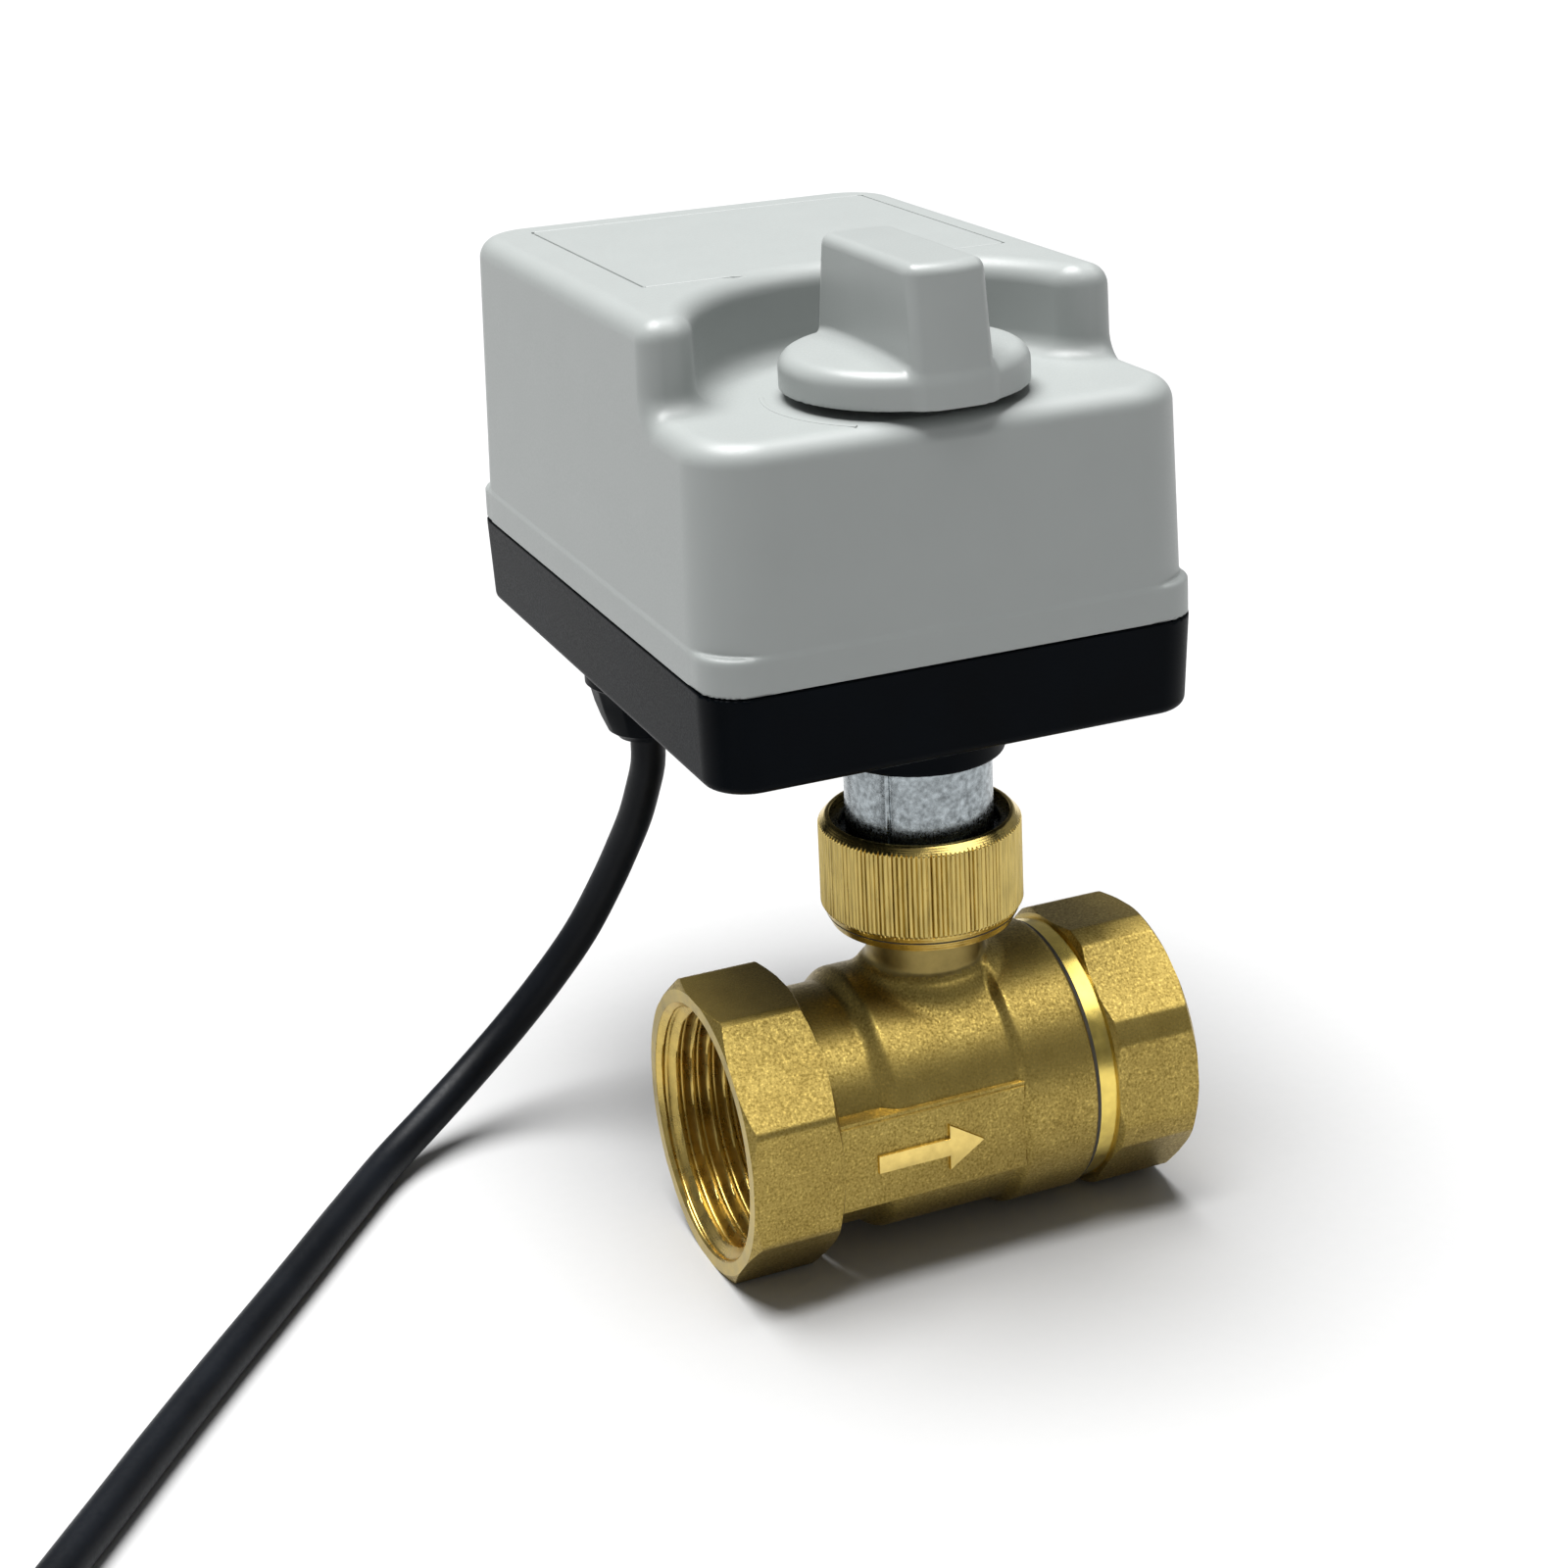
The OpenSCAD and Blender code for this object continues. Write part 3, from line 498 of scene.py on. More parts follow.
FINISHES = {
    "forged_brass": forged_brass("forged_brass", BRASS_DARK, BRASS_LIGHT, 0.44),
    "turned_brass": machined("turned_brass", (0.84, 0.63, 0.20), 0.2, "Z", 0.35),
    "chromed_brass": finish_of("chromed_brass", (0.72, 0.72, 0.73), 0.08, 1, vary=0.05,
                               grain=0.05, rough_vary=0.03),
    "white_seal": finish_of("white_seal", (0.82, 0.82, 0.80), 0.35, grain=0.1),
    "black_rubber": finish_of("black_rubber", (0.02, 0.02, 0.021), 0.6, grain=0.3),
    "black_steel": finish_of("black_steel", (0.10, 0.10, 0.065), 0.3, 0.9, vary=0.35,
                             cloud_mm=1.2, grain=0.4),
    "zinc_steel": finish_of("zinc_steel", (0.29, 0.32, 0.335), 0.27, 1, vary=0.45, cloud_mm=0.9,
                            grain_mm=0.3, grain_depth=0.03, grain=0.5, rough_vary=0.12),
    "bronze": finish_of("bronze", (0.42, 0.25, 0.12), 0.42, 1, vary=0.2, cloud_mm=0.8),
    "black_plastic": finish_of("black_plastic", (0.0006, 0.0016, 0.003), 0.4, vary=0.3,
                               cloud_mm=12, grain_mm=0.25, grain_depth=0.015, grain=0.25,
                               specular=0.04),
    "grey_plastic": finish_of("grey_plastic", (0.30, 0.318, 0.311), 0.42, vary=0.012, cloud_mm=9,
                              grain_mm=0.3, grain_depth=0.012, grain=0.22),
    "knob_plastic": finish_of("knob_plastic", (0.30, 0.318, 0.311), 0.36, vary=0.02, cloud_mm=9,
                              grain_mm=0.3, grain_depth=0.008, grain=0.15),
    "gear_plastic": finish_of("gear_plastic", (0.80, 0.79, 0.72), 0.3, grain=0.1, coat=0.2),
    "cam_plastic": finish_of("cam_plastic", (0.5, 0.03, 0.025), 0.3, grain=0.1, coat=0.2),
    "circuit_board": finish_of("circuit_board", (0.02, 0.16, 0.05), 0.28, vary=0.25, cloud_mm=3,
                               coat=0.4),
    "green_plastic": finish_of("green_plastic", (0.06, 0.36, 0.09), 0.32, coat=0.2),
    "blue_plastic": finish_of("blue_plastic", (0.02, 0.08, 0.36), 0.3, coat=0.2),
    "orange_plastic": finish_of("orange_plastic", (0.6, 0.2, 0.03), 0.3, coat=0.2),
    "lead_insulation": finish_of("lead_insulation", (0.20, 0.07, 0.025), 0.35),
    "cable_jacket": finish_of("cable_jacket", (0.004, 0.005, 0.007), 0.42, vary=0.3, cloud_mm=15,
                              grain_mm=0.5, grain=0.15, specular=0.12),
    "tie_plastic": finish_of("tie_plastic", (0.014, 0.014, 0.015), 0.45, vary=0.3),
}
KNURL_BRASS = finish_of("knurl_brass", (0.51, 0.39, 0.13), 0.33, 1, vary=0.2, cloud_mm=0.6,
                        grain_mm=0.3, grain_depth=0.03, grain=0.5, stretch=(1, 1, 0.15))
NECK_BRASS = machined("neck_brass", (0.30, 0.225, 0.075), 0.42, "Z", 0.5)
FACE_BRASS = machined("face_brass", (0.54, 0.42, 0.15), 0.36, "X", 0.4, depth=0.02)
THREAD_BRASS = machined("thread_brass", (0.60, 0.44, 0.13), 0.28, "X", 0.5)
COLLAR_BRASS = machined("collar_brass", (0.90, 0.68, 0.17), 0.2, "X", 0.3)
# Dark sealant at the body's seam by the collar; on the nut the same colour is painted shade in its
# groove
SEALANT_AND_GROOVE_SHADE = finish_of("sealant_and_painted_groove_shade", (0.035, 0.028, 0.015), 0.55, vary=0.3, cloud_mm=1)
COPPER = finish_of("copper", (0.72, 0.28, 0.14), 0.3, 1, cloud_mm=0.8)
BLUE_CORE = finish_of("blue_core", (0.02, 0.07, 0.40), 0.35)
YELLOW_CORE = finish_of("yellow_core", (0.30, 0.42, 0.03), 0.35)


def dress(obj, *materials):
    for m in materials:
        obj.data.materials.append(m)
    return obj


def settle(obj, body, slot, *nodes):
    """The piece rides on its body and stands for the CAD nodes."""
    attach(obj, body)
    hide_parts(*nodes)
    return obj


# ---- Housing ---------------------------------------------------------------------------------

def leaning_rect(x, y, inset, r):
    """The housing's plan, set in by a distance that may change with height."""
    qx = np.abs(x) - (HALF_W - inset) + r
    qy = np.abs(y - (FRONT_Y + BACK_Y) / 2) - ((BACK_Y - FRONT_Y) / 2 - inset) + r
    return np.minimum(np.maximum(qx, qy), 0) + np.hypot(np.maximum(qx, 0),
                                                        np.maximum(qy, 0)) - r


def cover_outside(x, y, z):
    walls = leaning_rect(x, y, 0.25 + 0.02 * np.maximum(z - LIP_TOP, 0), 8.5)
    block = rmax(HORN_FRONT - y, BAY_R - np.hypot(x, y), 3)
    block = rmax(block, z - COVER_TOP, 3)
    crown = rmin(z - PLATFORM, block, 2.8)
    upper = rmax(crown, walls, 3)
    lip = rmax(leaning_rect(x, y, 0.12, 6), z - LIP_TOP, 0.7)
    return rmin(upper, lip, 0.3)


def cover_shape(x, y, z):
    outside = cover_outside(x, y, z)
    label = np.maximum(np.abs(rect(x, y, LABEL, 0.5)) - 0.22, COVER_TOP - 0.3 - z)
    posts = np.maximum(nearest(x, y, POSTS, 3.4), PARTING + 2 - z)
    boss = np.maximum(np.hypot(x, y) - 8.5, PLATFORM - 4.6 - z)
    hollow = np.maximum(outside + WALL, -np.minimum(posts, boss))
    solid = np.maximum(np.maximum(outside, -hollow), -label)
    holes = np.minimum(np.hypot(x, y) - 6, np.maximum(nearest(x, y, POSTS, 1.27), z - 76))
    solid = np.maximum(solid, -holes)
    return rmax(solid, PARTING + 0.08 - z, 0.12)


def make_cover():
    edges = [(-HALF_W - 0.3, -HALF_W + 4), (-27.5, -22), (22, 27.5), (28, HALF_W + 0.5)]
    label_x = [(LABEL[0] - 0.6, LABEL[0] + 0.6), (LABEL[1] - 0.6, LABEL[1] + 0.6)]
    xs = grid_lines(-HALF_W - 0.4, HALF_W + 0.5, 1.0, 0.5, edges, 0.16, label_x)
    label_y = [(LABEL[2] - 0.6, LABEL[2] + 0.6), (LABEL[3] - 0.6, LABEL[3] + 0.6)]
    ys = grid_lines(FRONT_Y - 0.4, BACK_Y + 0.5, 1.2, 0.5,
                    [(FRONT_Y - 0.4, FRONT_Y + 5), (0, 27), (76, BACK_Y + 0.5)], 0.16, label_y)
    zs = grid_lines(PARTING - 0.2, COVER_TOP + 0.4, 1.3, 0.45,
                    [(PARTING - 0.2, PARTING + 0.8), (LIP_TOP - 1.2, LIP_TOP + 1.4),
                     (PLATFORM - 5, PLATFORM + 3.6), (COVER_TOP - 4, COVER_TOP + 0.4)],
                    0.12, [(COVER_TOP - 0.6, COVER_TOP + 0.2)])
    shell = dress(skin("cover_shell", cover_shape, xs, ys, zs), FINISHES["grey_plastic"])
    bead = arc("platform_bead", [(17.8, PLATFORM - 0.2), (18.6, PLATFORM - 0.2),
                                 (18.5, PLATFORM + 0.06), (18.2, PLATFORM + 0.14),
                                 (17.9, PLATFORM + 0.06)], 158, 226, 60)
    dress(bead, FINISHES["grey_plastic"])
    settle(joined("top_cover_look", [shell, bead]), "housing", "grey_plastic", "top_cover")


def base_shape(x, y, z):
    walls = leaning_rect(x, y, 0.06 + 0.04 * (PARTING - z), 6)
    outside = rmax(rmax(walls, FLOOR_Z - z, 1.3), z - PARTING + 0.06, 0.15)
    boss = rmax(np.hypot(x, y) - 11.6, BASE_LOW[2] - z, 0.5)
    boss = np.maximum(boss, z - FLOOR_Z - 1)
    outside = rmin(outside, boss, 0.6)
    hollow = np.maximum(leaning_rect(x, y, WALL, 6 - WALL), FLOOR_Z + 2.4 - z)
    inner_posts = np.minimum(nearest(x, y, POSTS, 3.6), nearest(x, y, PILLARS, 3))
    hollow = np.maximum(hollow, -inner_posts)
    holes = np.minimum(np.hypot(x, y) - 9.82, np.hypot(x - GLAND_X, y - GLAND_Y) - 6.05)
    screw_holes = np.minimum(nearest(x, y, POSTS, 1.5),
                             np.maximum(nearest(x, y, POSTS, 2.8), z - FLOOR_Z - 1.8))
    holes = np.minimum(holes, screw_holes)
    return np.maximum(np.maximum(outside, -hollow), -holes)


def make_base():
    xs = grid_lines(-HALF_W - 0.3, HALF_W + 0.5, 1.2, 0.5,
                    [(-HALF_W - 0.3, -25), (-19, -17), (-12.5, 12.5), (25, HALF_W + 0.5)], 0.5, [])
    ys = grid_lines(FRONT_Y - 0.3, BACK_Y + 0.5, 1.5, 0.5,
                    [(FRONT_Y - 0.3, 12.5), (20, 28), (31, 45), (62, 70),
                     (72, BACK_Y + 0.5)], 0.5, [])
    zs = grid_lines(BASE_LOW[2] - 0.4, PARTING + 0.4, 1.2, 0.35,
                    [(BASE_LOW[2] - 0.4, FLOOR_Z + 3), (PARTING - 0.8, PARTING + 0.4)], 0.35, [])
    shell = dress(skin("base_shell", base_shape, xs, ys, zs), FINISHES["black_plastic"])
    settle(shell, "housing", "black_plastic", "base_housing")


# ---- Knob ------------------------------------------------------------------------------------

def knob_shape(x, y, z):
    rho = np.hypot(x, y)
    low, high = KNOB_LOW[2], KNOB_HIGH[2]
    dome = z - (low + 5.4 - 0.9 * (rho / 16) ** 3)
    skirt = rmax(rho - 16.0, dome, 1.9)
    rise = z - low - 5
    sides = np.abs(x) - 5.5 + 0.012 * rise
    ends = rho - (15.95 - 0.13 * rise)
    grip = rmax(sides, ends, 1.3)
    grip = rmax(grip, z - high, 1.5)
    solid = rmin(skirt, grip, 0.9)
    solid = rmax(solid, low - z, 0.25)
    ring = np.maximum(between(rho, 7, 14), z - low - 3.4)
    shaft = np.maximum(rho - 4.02, z - low - 11.7)
    flat = np.maximum(3.22 - y, low + 1 - z)
    shaft = np.maximum(shaft, -flat)
    return np.maximum(solid, -np.minimum(ring, shaft))


def make_knob():
    xs = ticks(-16.6, 16.6, 0.42, 0.42, [])
    zs = ticks(KNOB_LOW[2] - 0.4, KNOB_HIGH[2] + 0.4, 0.42, 0.42, [])
    knob = dress(skin("knob_look", knob_shape, xs, xs, zs), FINISHES["knob_plastic"])
    settle(knob, "output", "knob_plastic", "knob")


# ---- Valve body ------------------------------------------------------------------------------

def octagon_radius(flats):
    """Radius of an octagon with slightly blunted corners, as a function of the angle."""
    def radius(angle):
        from_flat = (angle + math.pi / 8) % (math.pi / 4) - math.pi / 8
        return np.minimum(flats / 2 / np.cos(from_flat), flats / 2 / math.cos(math.pi / 8) - 0.16)
    return radius


def thread_radius(station, start):
    """Inside radius of the thread at one station: a rounded V that climbs one pitch a turn."""
    def radius(angle):
        phase = ((station - start) / PITCH - angle / (2 * math.pi)) % 1
        groove = THREAD_R + THREAD_DEPTH * np.clip(1.18 - 2.36 * np.abs(phase - 0.5) * 1.02, 0, 1)
        cone = MOUTH_R - (station - start)
        return np.maximum(groove, cone)
    return radius


def pipe_end(name, flats, face, back, turned, turn, widest):
    """An octagonal end with turned rims, and the threaded ring inside it."""
    octagon = octagon_radius(flats)
    rim = flats / 2 + 0.1
    length = abs(back - face)
    way = 1 if back > face else -1
    slope = (turned - flats / 2 - 0.1) / 0.8

    def outline(depth):
        near = min(depth, length - depth)
        cone = min(rim + slope * near, widest)
        return lambda angle: np.minimum(octagon(angle - turn), cone)

    steps = np.concatenate([np.linspace(0, 1.4, 18), np.linspace(1.4, length - 1.4, 5)[1:-1],
                            np.linspace(length - 1.4, length, 18)])
    bore = 16.86
    outer = [(face + way * d, outline(d)) for d in steps]
    inner = [(back, bore), (face + way * 0.02, bore)]
    profile = outer + inner
    shell = lathe(name + "_shell", profile if way < 0 else profile[::-1], 480, axis="x", sharp=24)
    stations = np.arange(0.03, length - 0.4, PITCH / 14)
    thread = [(face + way * d, thread_radius(d, 0.03)) for d in stations]
    ring = [(face + way * stations[-1], THREAD_RING_R), (face + way * stations[0], bore)]
    profile = thread + ring
    insert = lathe(name + "_thread", profile[::-1] if way < 0 else profile, 240, axis="x",
                   sharp=70)
    dress(shell, FINISHES["forged_brass"], FACE_BRASS)
    for polygon in shell.data.polygons:
        if abs(polygon.normal.x) > 0.9:
            polygon.material_index = 1
    dress(insert, THREAD_BRASS)
    return [shell, insert]


def eased(x, start, end):
    t = np.clip((x - start) / (end - start), 0, 1)
    return t * t * (3 - 2 * t)


def plate(name, outline, y_out, inner_y, bevel):
    """A flat raised area facing -Y, with a bevelled edge. The outline is in x and z, and
    inner_y gives the hidden back face's y at a given x."""
    loop = np.array(outline, float)
    edge = np.roll(loop, -1, axis=0) - loop
    edge /= np.linalg.norm(edge, axis=1)[:, None]
    inward = np.stack([-edge[:, 1], edge[:, 0]], axis=1)
    before = np.roll(inward, 1, axis=0)
    mitre = (inward + before) / (1 + (inward * before).sum(1))[:, None]
    points = []
    points += [(x, inner_y(x), z) for x, z in loop]
    for y, inset in ((y_out + bevel, 0), (y_out + bevel * 0.3, bevel * 0.3), (y_out, bevel)):
        points += [(x, y, z) for x, z in loop + mitre * inset]
    n = len(loop)
    faces = [list(f) for f in band_faces(4, n, False)]
    faces += [list(range(n))[::-1], [3 * n + k for k in range(n)]]
    return add_object(name, points, faces, sharp=40)


def barrel_shape(x, y, z):
    rho = np.hypot(y, z)
    out = 15.7 + 1.5 * eased(x, -14.2, -11.2) + 1.0 * eased(x, 4.9, 6.5)
    barrel = rmax(rho - out, x - SEAM_X + 0.12, 0.5)
    stalk = np.hypot(x, y)
    boss = rmax(stalk - 8.3, z - 18, 0.7)
    neck = np.maximum(stalk - 7.7, z - 25)
    head_ring = rmax(stalk - 11.12, np.maximum(24.6 - z, z - 31.5), 0.3)
    upright = rmin(rmin(boss, neck, 0.8), head_ring, 0.4)
    upright = np.maximum(upright, 9 - z)
    solid = rmin(barrel, upright, 2.6)
    way = np.interp(x, [-24, -20.6, -20.5, -16.5, -13.1, -13, -8.1, -8, 5.5, 5.6],
                    [17, 17, 13.4, WAY_R, WAY_R, 12.65, 12.65, 14.9, 14.9, 15.6])
    bores = np.minimum(rho - way, np.maximum(stalk - 4.06, 8 - z))
    bores = np.minimum(bores, np.maximum(stalk - 5.5, between(z, 8, 16.2)))
    return np.maximum(np.maximum(solid, -bores), OCTAGON_BACK - 0.2 - x)


def pad_inner_y(x):
    """The pad's hidden side: inside the wall at the rim, and clear of the turning ball."""
    return -13 - 2 * (x - OCTAGON_BACK) / 26


def box_outline(x0, x1, z0, z1):
    return [(x0, z0), (x1, z0), (x1, z1), (x0, z1)]


def make_valve_body():
    xs = ticks(OCTAGON_BACK - 0.5, SEAM_X + 0.4, 0.5, 0.5, [])
    ys = ticks(-19, 19, 0.5, 0.5, [])
    zs = ticks(-19, 32, 0.5, 0.5, [])
    barrel = dress(skin("barrel", barrel_shape, xs, ys, zs), FINISHES["forged_brass"],
                   NECK_BRASS, FACE_BRASS)
    for polygon in barrel.data.polygons:
        p = polygon.center / MM
        x = p.x - STEM_X / MM
        rho = math.hypot(p.y, p.z)
        if math.hypot(x, p.y) < 8.2 and p.z > 18.1:
            polygon.material_index = 1
        elif rho < 15.65 and p.z < 17:
            polygon.material_index = 2
    ledge = plate("pad_ledge", box_outline(OCTAGON_BACK - 0.1, 6.0, -6.5, 5.65), PAD_Y + 0.4,
                  pad_inner_y, 0.12)
    pad = plate("pad", box_outline(OCTAGON_BACK - 0.1, 5.7, -6.2, 5.2), PAD_Y,
                pad_inner_y, 0.2)
    middle = (-6.2 + 5.2) / 2
    arrow = plate("arrow", [(ARROW_X + a, middle + b) for a, b in
                            ((0, -1.2), (10, -1.2), (10, -3.2), (15, 0), (10, 3.2), (10, 1.2),
                             (0, 1.2))], PAD_Y - 0.55, lambda x: PAD_Y + 1, 0.18)
    dress(ledge, FINISHES["forged_brass"])
    dress(pad, FINISHES["forged_brass"])
    dress(arrow, FINISHES["turned_brass"])
    ends = pipe_end("inlet", INLET_FLATS, INLET_X, OCTAGON_BACK, 19.75, 0, 19.76)
    body = joined("valve_body_look", [barrel, ledge, pad, arrow, *ends])
    settle(body, "housing", "forged_brass", "valve_body")


def make_end_cap():
    ends = pipe_end("outlet", OUTLET_FLATS, OUTLET_X, COLLAR_END, 19.1, OUTLET_TURN, 18.85)
    collar = lathe("collar", [(SEAM_X + 0.12, 17.4), (SEAM_X + 0.32, 17.6), (COLLAR_END, 17.6),
                              (COLLAR_END, 13.4), (COLLAR_END - 4, WAY_R), (13, WAY_R),
                              (13, 12.65), (6.8, 12.65), (6.8, 15.56),
                              (SEAM_X + 0.12, 15.56)][::-1], 192, axis="x")
    sealant = lathe("sealant", [(SEAM_X - 0.25, 17.5), (SEAM_X - 0.1, 17.78),
                                (SEAM_X + 0.42, 17.72), (SEAM_X + 0.5, 17.5),
                                (SEAM_X + 0.2, 15.7), (SEAM_X - 0.25, 15.7)][::-1], 160,
                    axis="x", sharp=60)
    dress(collar, COLLAR_BRASS)
    dress(sealant, SEALANT_AND_GROOVE_SHADE)
    settle(joined("end_cap_look", [*ends, collar, sealant]), "housing", "forged_brass", "end_cap")


# ---- Nut, ring, sleeve -----------------------------------------------------------------------

KNURL_RIBS = 132
SLEEVE_SEAM = math.radians(-138.5)


def make_union_nut():
    chance = np.random.default_rng(7)
    heights = chance.uniform(0.2, 0.42, KNURL_RIBS)
    phases = chance.uniform(-0.12, 0.12, KNURL_RIBS)
    low, high = NUT_LOW[2], NUT_HIGH[2]

    def outline(z):
        cone_high = 12.4 + (high - z) * 0.92
        cone_low = np.interp(z, [low, low + 2.3, low + 3.4], [12.2, 13.3, 14.6])

        def radius(angle):
            place = angle / (2 * math.pi) * KNURL_RIBS
            k = np.floor(place).astype(int) % KNURL_RIBS
            across = place % 1 + phases[k] * np.sin(math.pi * (place % 1))
            rib = 13.45 - heights[k] * (1 - np.abs(np.sin(math.pi * across)) ** 0.7)
            return np.minimum(np.minimum(rib, cone_high), cone_low)
        return radius

    rises = np.concatenate([[low, low + 0.2, low + 0.6, low + 1.05], [low + 1.25, low + 1.45],
                            np.arange(low + 1.6, low + 3, 0.12),
                            np.arange(low + 3.2, high - 1.9, 0.8),
                            np.arange(high - 1.8, high - 0.12, 0.09), [high - 0.1]])
    outer = [(z, outline(z)) for z in rises]
    inner = [(high, 12.28), (high, 12.0), (high - 0.1, 11.9), (RING_HIGH[2], 11.9),
             (RING_HIGH[2], 12.5), (RING_LOW[2], 12.5), (RING_LOW[2], 11.9), (31.5, 11.9),
             (31.5, 11.2), (low + 0.4, 11.2), (low, 11.5)]
    nut = lathe("nut_look", outer + inner, KNURL_RIBS * 8, sharp=38)
    dress(nut, FINISHES["turned_brass"], KNURL_BRASS)
    for polygon in nut.data.polygons:
        p = polygon.center / MM
        rho = math.hypot(p.x - STEM_X / MM, p.y)
        if rho > 12.6 and low + 2.2 < p.z < high - 1.15:
            polygon.material_index = 1
    # A dark band laid flush round the nut where its groove shows: painted shade, since the nut
    # itself has no cut groove there
    groove = lathe("nut_groove_painted_shade", [(low + 1.12, 12.4), (low + 1.1, 12.76), (low + 1.32, 12.87),
                                       (low + 1.34, 12.4)], 192)
    dress(groove, SEALANT_AND_GROOVE_SHADE)
    settle(joined("union_nut_look", [nut, groove]), "nut", "turned_brass", "union_nut")


def make_retaining_ring():
    low, high = RING_LOW[2] + 0.05, RING_HIGH[2] - 0.05
    section = [(10.75, low), (12.35, low), (12.45, low + 0.15), (12.45, high - 0.15),
               (12.3, high), (10.8, high), (10.62, high - 0.2), (10.62, low + 0.2)]
    ring = arc("retaining_ring_look", section, 99, 441, 180)
    dress(ring, FINISHES["black_steel"])
    settle(ring, "nut", "black_steel", "retaining_ring")


def make_sleeve():
    def skin_at(r):
        def radius(angle):
            off = np.abs((angle - SLEEVE_SEAM + math.pi) % (2 * math.pi) - math.pi)
            return r - 0.28 * np.exp(-(off / 0.022) ** 2)
        return radius

    low, high = SLEEVE_LOW[2], SLEEVE_HIGH[2]
    profile = [(low, 8.42), (low, skin_at(9.6)), (low + 0.3, skin_at(9.8)),
               (46.6, skin_at(9.8)), (high - 1.5, skin_at(9.8)), (high - 1.5, 13.7), (high, 13.7),
               (high, 8.42)]
    sleeve = lathe("sleeve_look", profile, 720, sharp=28)
    dress(sleeve, FINISHES["zinc_steel"])
    settle(sleeve, "housing", "zinc_steel", "coupling_sleeve")


# ---- Gland and cable -------------------------------------------------------------------------

def make_gland():
    low = GLAND_LOW[2]

    def faceted(r, sides, depth):
        def radius(angle):
            from_flat = (angle + math.pi / sides) % (2 * math.pi / sides) - math.pi / sides
            flat = r * math.cos(math.pi / sides) / np.cos(from_flat)
            return r + (flat - r) * depth
        return radius

    profile = [(low, 2.6), (low, 4.1), (low + 0.4, 4.4), (42.2, 5.5), (44, faceted(6.3, 12, 0.5)),
               (46.4, faceted(7.1, 12, 1)), (48.5, faceted(7.6, 12, 1)), (49, 7.7), (49.2, 8.1),
               (49.4, 8.3), (51.2, 8.3), (51.28, 8.1), (51.28, 6), (57.2, 6), (57.3, 5.8),
               (57.3, 2.6)]
    gland = lathe("cable_gland_look", profile, 144, centre=(GLAND_X, GLAND_Y), sharp=24)
    dress(gland, FINISHES["black_plastic"])
    settle(gland, "housing", "black_plastic", "cable_gland")


ROUTE = [(-24, 38, 41), (-24, 38.4, 36.5), (-24.6, 39.8, 32), (-25.4, 41.4, 27.5),
         (-26.8, 43.4, 22.5), (-29, 45.4, 16.5), (-32.6, 47.5, 9), (-37.5, 48.8, 2.2),
         (-43.5, 49, -4), (-50.5, 47.5, -9.2), (-58, 44.2, -13.1), (-66, 38.5, -15.5),
         (-74.3, 28.8, REST_Z), (-81.8, 19.3, REST_Z), (-88.9, 10.4, REST_Z), (-95.7, 2, REST_Z),
         (-102.3, -6.3, REST_Z), (-108.4, -14.1, REST_Z), (-114.1, -21.6, REST_Z),
         (-119.5, -28.6, REST_Z), (-127.4, -39, REST_Z + 0.1), (-135.4, -49.5, REST_Z + 0.4)]


def coil_point(turned, lift=0, out=0):
    """A point on the coil's line, so many radians clockwise from where the cable joins it."""
    angle = COIL_START - turned
    rise = min(turned / (2 * math.pi), COIL_TURNS - 0.5) * 2 * CABLE_R
    return (COIL_X + (COIL_R + out) * math.cos(angle), COIL_Y + (COIL_R + out) * math.sin(angle),
            REST_Z + TIE_T + rise + lift)


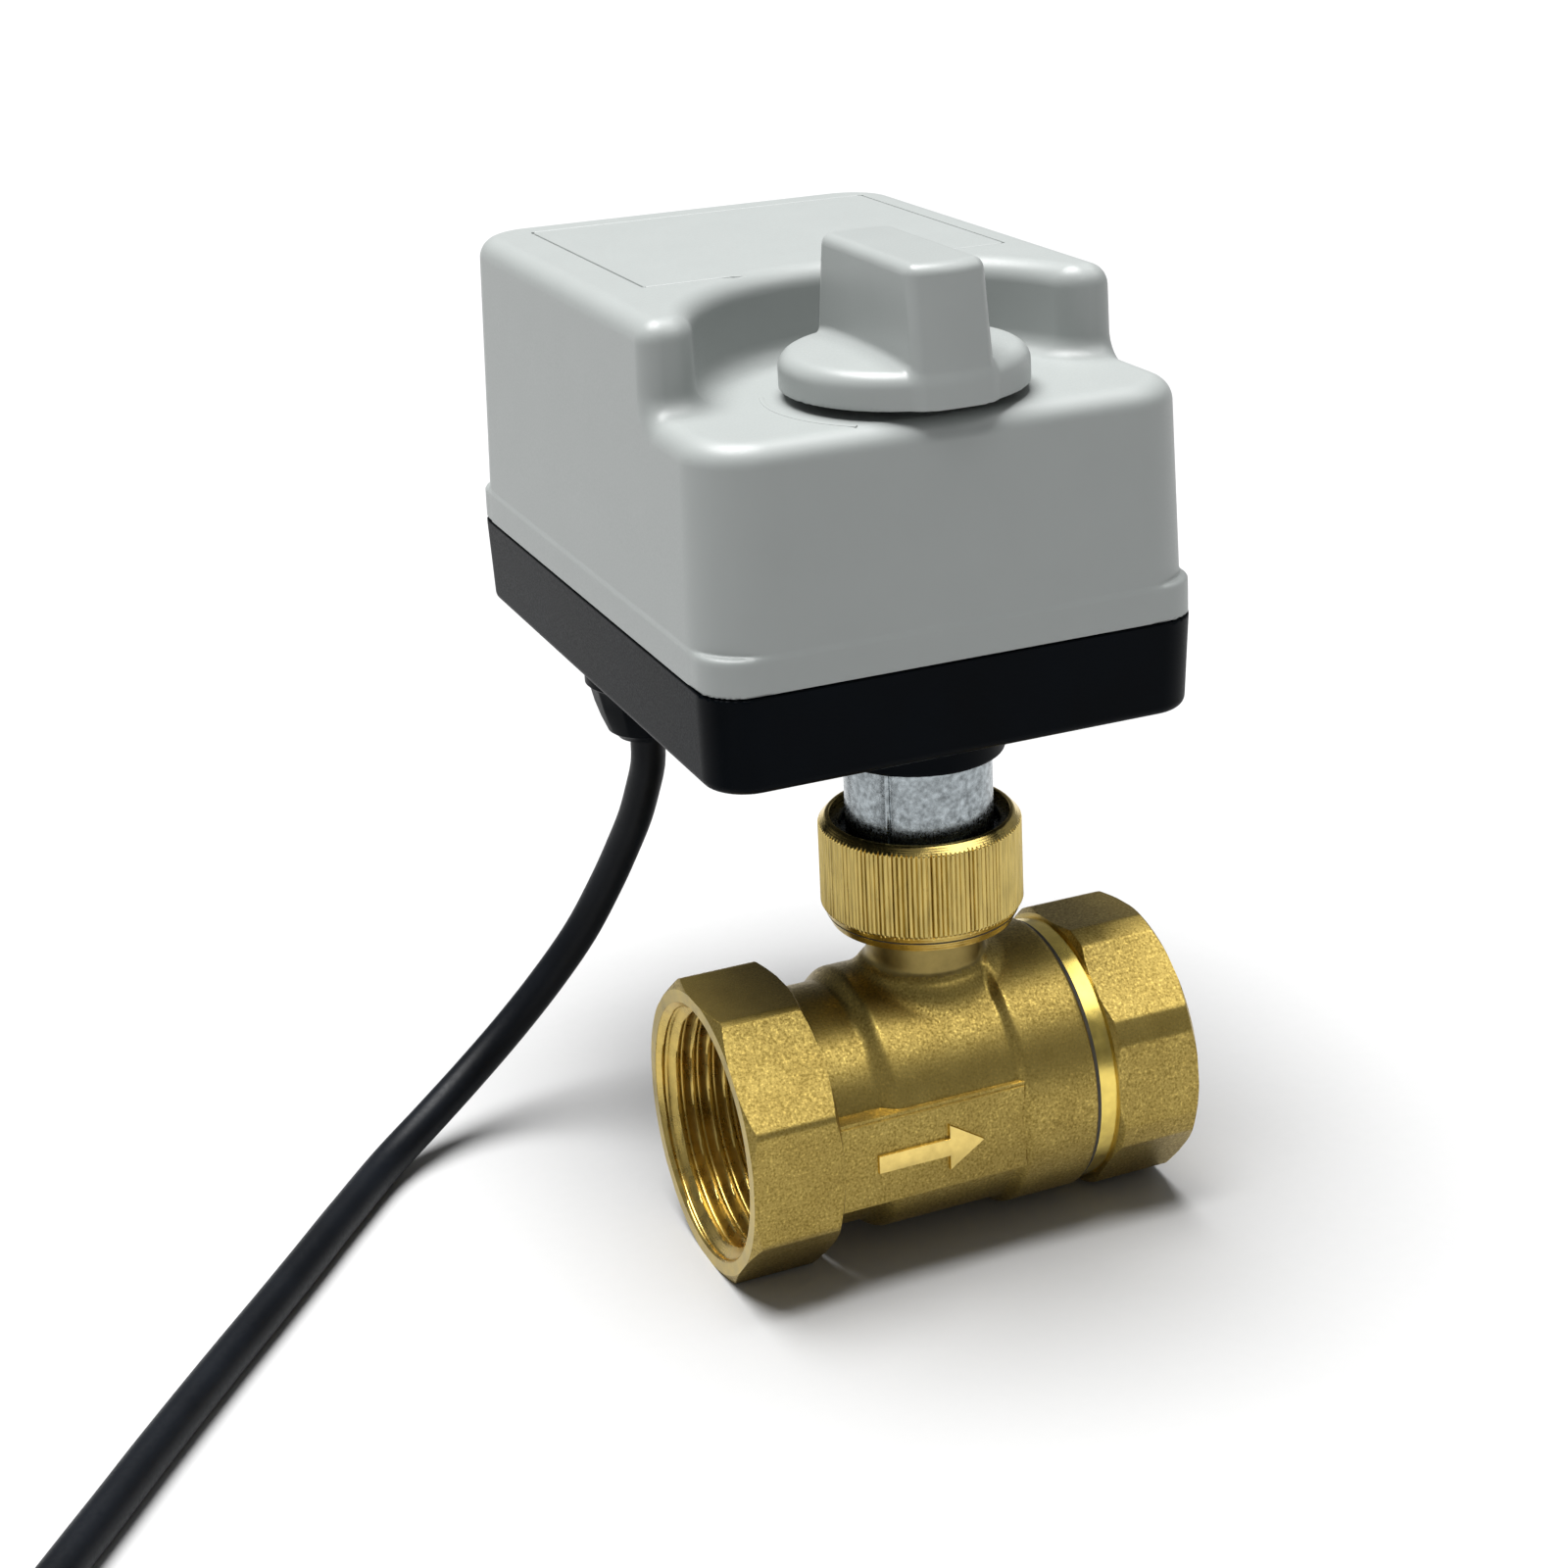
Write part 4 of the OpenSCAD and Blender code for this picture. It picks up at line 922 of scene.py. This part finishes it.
def make_cable():
    """The lead: a free run to the coil, the coil itself, its tie and the three bare cores."""
    ease = 0.35
    turns = [coil_point(t) for t in np.arange(ease, COIL_TURNS * 2 * math.pi, 0.22)]
    end = coil_point(COIL_TURNS * 2 * math.pi - 0.05)
    path = curve_through([*ROUTE, coil_point(0), *turns, end], 1.6)
    path[:, 2] = np.maximum(path[:, 2], REST_Z)
    lead = dress(tube("cable_look", path, CABLE_R - 0.03, 28), FINISHES["cable_jacket"])
    settle(lead, "housing", "cable_jacket", "cable", "cable_coil")

    cores = []
    last = COIL_TURNS * 2 * math.pi - 0.2
    colours = [FINISHES["lead_insulation"], BLUE_CORE, YELLOW_CORE]
    for k, colour in zip((-1, 0, 1), colours):
        run = [coil_point(t, out=k * (0.9 + 0.9 * (t - last))) for t in
               np.linspace(last, last + 0.85, 12)]
        cores.append(dress(tube(f"core_{k + 1}", run, 0.75, 14), colour))
        tip = [coil_point(t, out=k * (0.9 + 0.9 * (t - last))) for t in
               np.linspace(last + 0.85, last + 1.05, 6)]
        cores.append(dress(tube(f"tip_{k + 1}", tip, 0.42, 12), COPPER))
    cores = settle(joined("cable_cores_look", cores), "housing", "lead_insulation", "cable_cores")

    low, high = box_mm("cable_tie")
    inner, outer = COIL_R - CABLE_R - TIE_T, COIL_R + CABLE_R + TIE_T
    centre = math.radians(143.5)
    loops = []
    for across in (-1.7, -1.5, 1.5, 1.7):
        grow = 0 if abs(across) < 1.6 else -0.15
        for a, b in ((0, grow), (TIE_T, 0)):
            r0, r1, z0, z1 = inner + a - b, outer - a + b, low[2] + a - b, high[2] - a + b
            loops.append([(r, z, across) for r, z in rounded_loop(r0, r1, z0, z1, 1.2)])
    order = [loops[0], loops[2], loops[4], loops[6], loops[7], loops[5], loops[3], loops[1]]
    side = np.array([-math.sin(centre), math.cos(centre)])
    out = np.array([math.cos(centre), math.sin(centre)])
    points = []
    for loop in order:
        for r, z, across in loop:
            spot = np.array([COIL_X, COIL_Y]) + r * out + across * side
            points.append((spot[0], spot[1], z))
    tie = add_object("cable_tie_look", points, band_faces(len(order), len(order[0]), True)[:, ::-1],
                     sharp=30)
    dress(tie, FINISHES["tie_plastic"])
    settle(tie, "housing", "tie_plastic", "cable_tie")

    placed = path.copy()
    placed[:, 0] += STEM_X / MM
    placed *= MM


def rounded_loop(r0, r1, z0, z1, r):
    """Corners of a rounded rectangle, anticlockwise, as (radius, height)."""
    loop = []
    for cr, cz, start in ((r1 - r, z1 - r, 0), (r0 + r, z1 - r, 90), (r0 + r, z0 + r, 180),
                          (r1 - r, z0 + r, 270)):
        for a in np.radians(np.linspace(start, start + 90, 7)):
            loop.append((cr + r * math.cos(a), cz + r * math.sin(a)))
    return loop


# ---- Floor and light -------------------------------------------------------------------------

def make_stage():
    half = 5.0
    z = SURFACE_Z * MM
    mesh = bpy.data.meshes.new("floor")
    n = 8
    marks = np.linspace(-half, half, n + 1)
    points = [(x, y, z) for y in marks for x in marks]
    row = n + 1
    faces = [(j * row + i, j * row + i + 1, (j + 1) * row + i + 1, (j + 1) * row + i)
             for j in range(n) for i in range(n)]
    mesh.from_pydata(points, [], faces)
    mesh.update()
    floor = bpy.data.objects.new("floor", mesh)
    bpy.context.scene.collection.objects.link(floor)
    dress(floor, finish_of("floor_paper", (0.44, 0.44, 0.44), 0.7, vary=0.01, cloud_mm=60,
                           grain_mm=2, grain=0.02))


def softbox(name, place, target, size, power):
    data = bpy.data.lights.new(name, "AREA")
    data.shape = "RECTANGLE"
    data.size, data.size_y = size
    data.energy = power
    light = bpy.data.objects.new(name, data)
    bpy.context.scene.collection.objects.link(light)
    light.location = place
    look = Vector(target) - Vector(place)
    light.rotation_euler = look.to_track_quat("-Z", "Y").to_euler()
    return light


def sun(name, towards, strength, spread_deg):
    data = bpy.data.lights.new(name, "SUN")
    data.energy = strength
    data.angle = math.radians(spread_deg)
    light = bpy.data.objects.new(name, data)
    bpy.context.scene.collection.objects.link(light)
    light.rotation_euler = Vector(towards).to_track_quat("Z", "Y").to_euler()


def make_light():
    world = bpy.data.worlds.new("studio")
    bpy.context.scene.world = world
    world.use_nodes = True
    sky = world.node_tree.nodes["Background"]
    sky.inputs["Color"].default_value = (0.97, 0.99, 1, 1)
    sky.inputs["Strength"].default_value = 0.2
    middle = (0.03, 0.02, 0.05)
    # The top panel shows in reflections only, on the brass facets that face up.
    sun("overhead", (-0.10, 0.13, 1.0), 7.3, 46)
    softbox("left_panel", (-0.9, -0.35, 0.5), middle, (0.5, 0.8), 0.25)
    softbox("right_panel", (0.8, -0.7, 0.35), middle, (0.3, 0.7), 0.05)
    softbox("top_panel", (0.27, -0.15, 0.56), middle, (0.5, 0.4), 1.45).visible_diffuse = False
    bpy.context.scene.view_settings.view_transform = "Standard"
    bpy.context.scene.view_settings.look = "None"


make_camera()
make_cable()
make_cover()
make_base()
make_knob()
make_valve_body()
make_end_cap()
make_union_nut()
make_retaining_ring()
make_sleeve()
make_gland()

for part in frame["record"]["subparts"]:
    cad = frame["nodes"][part["node"]]
    cad.data.materials.clear()
    cad.data.materials.append(FINISHES[part["material_slot"]])

make_stage()
make_light()
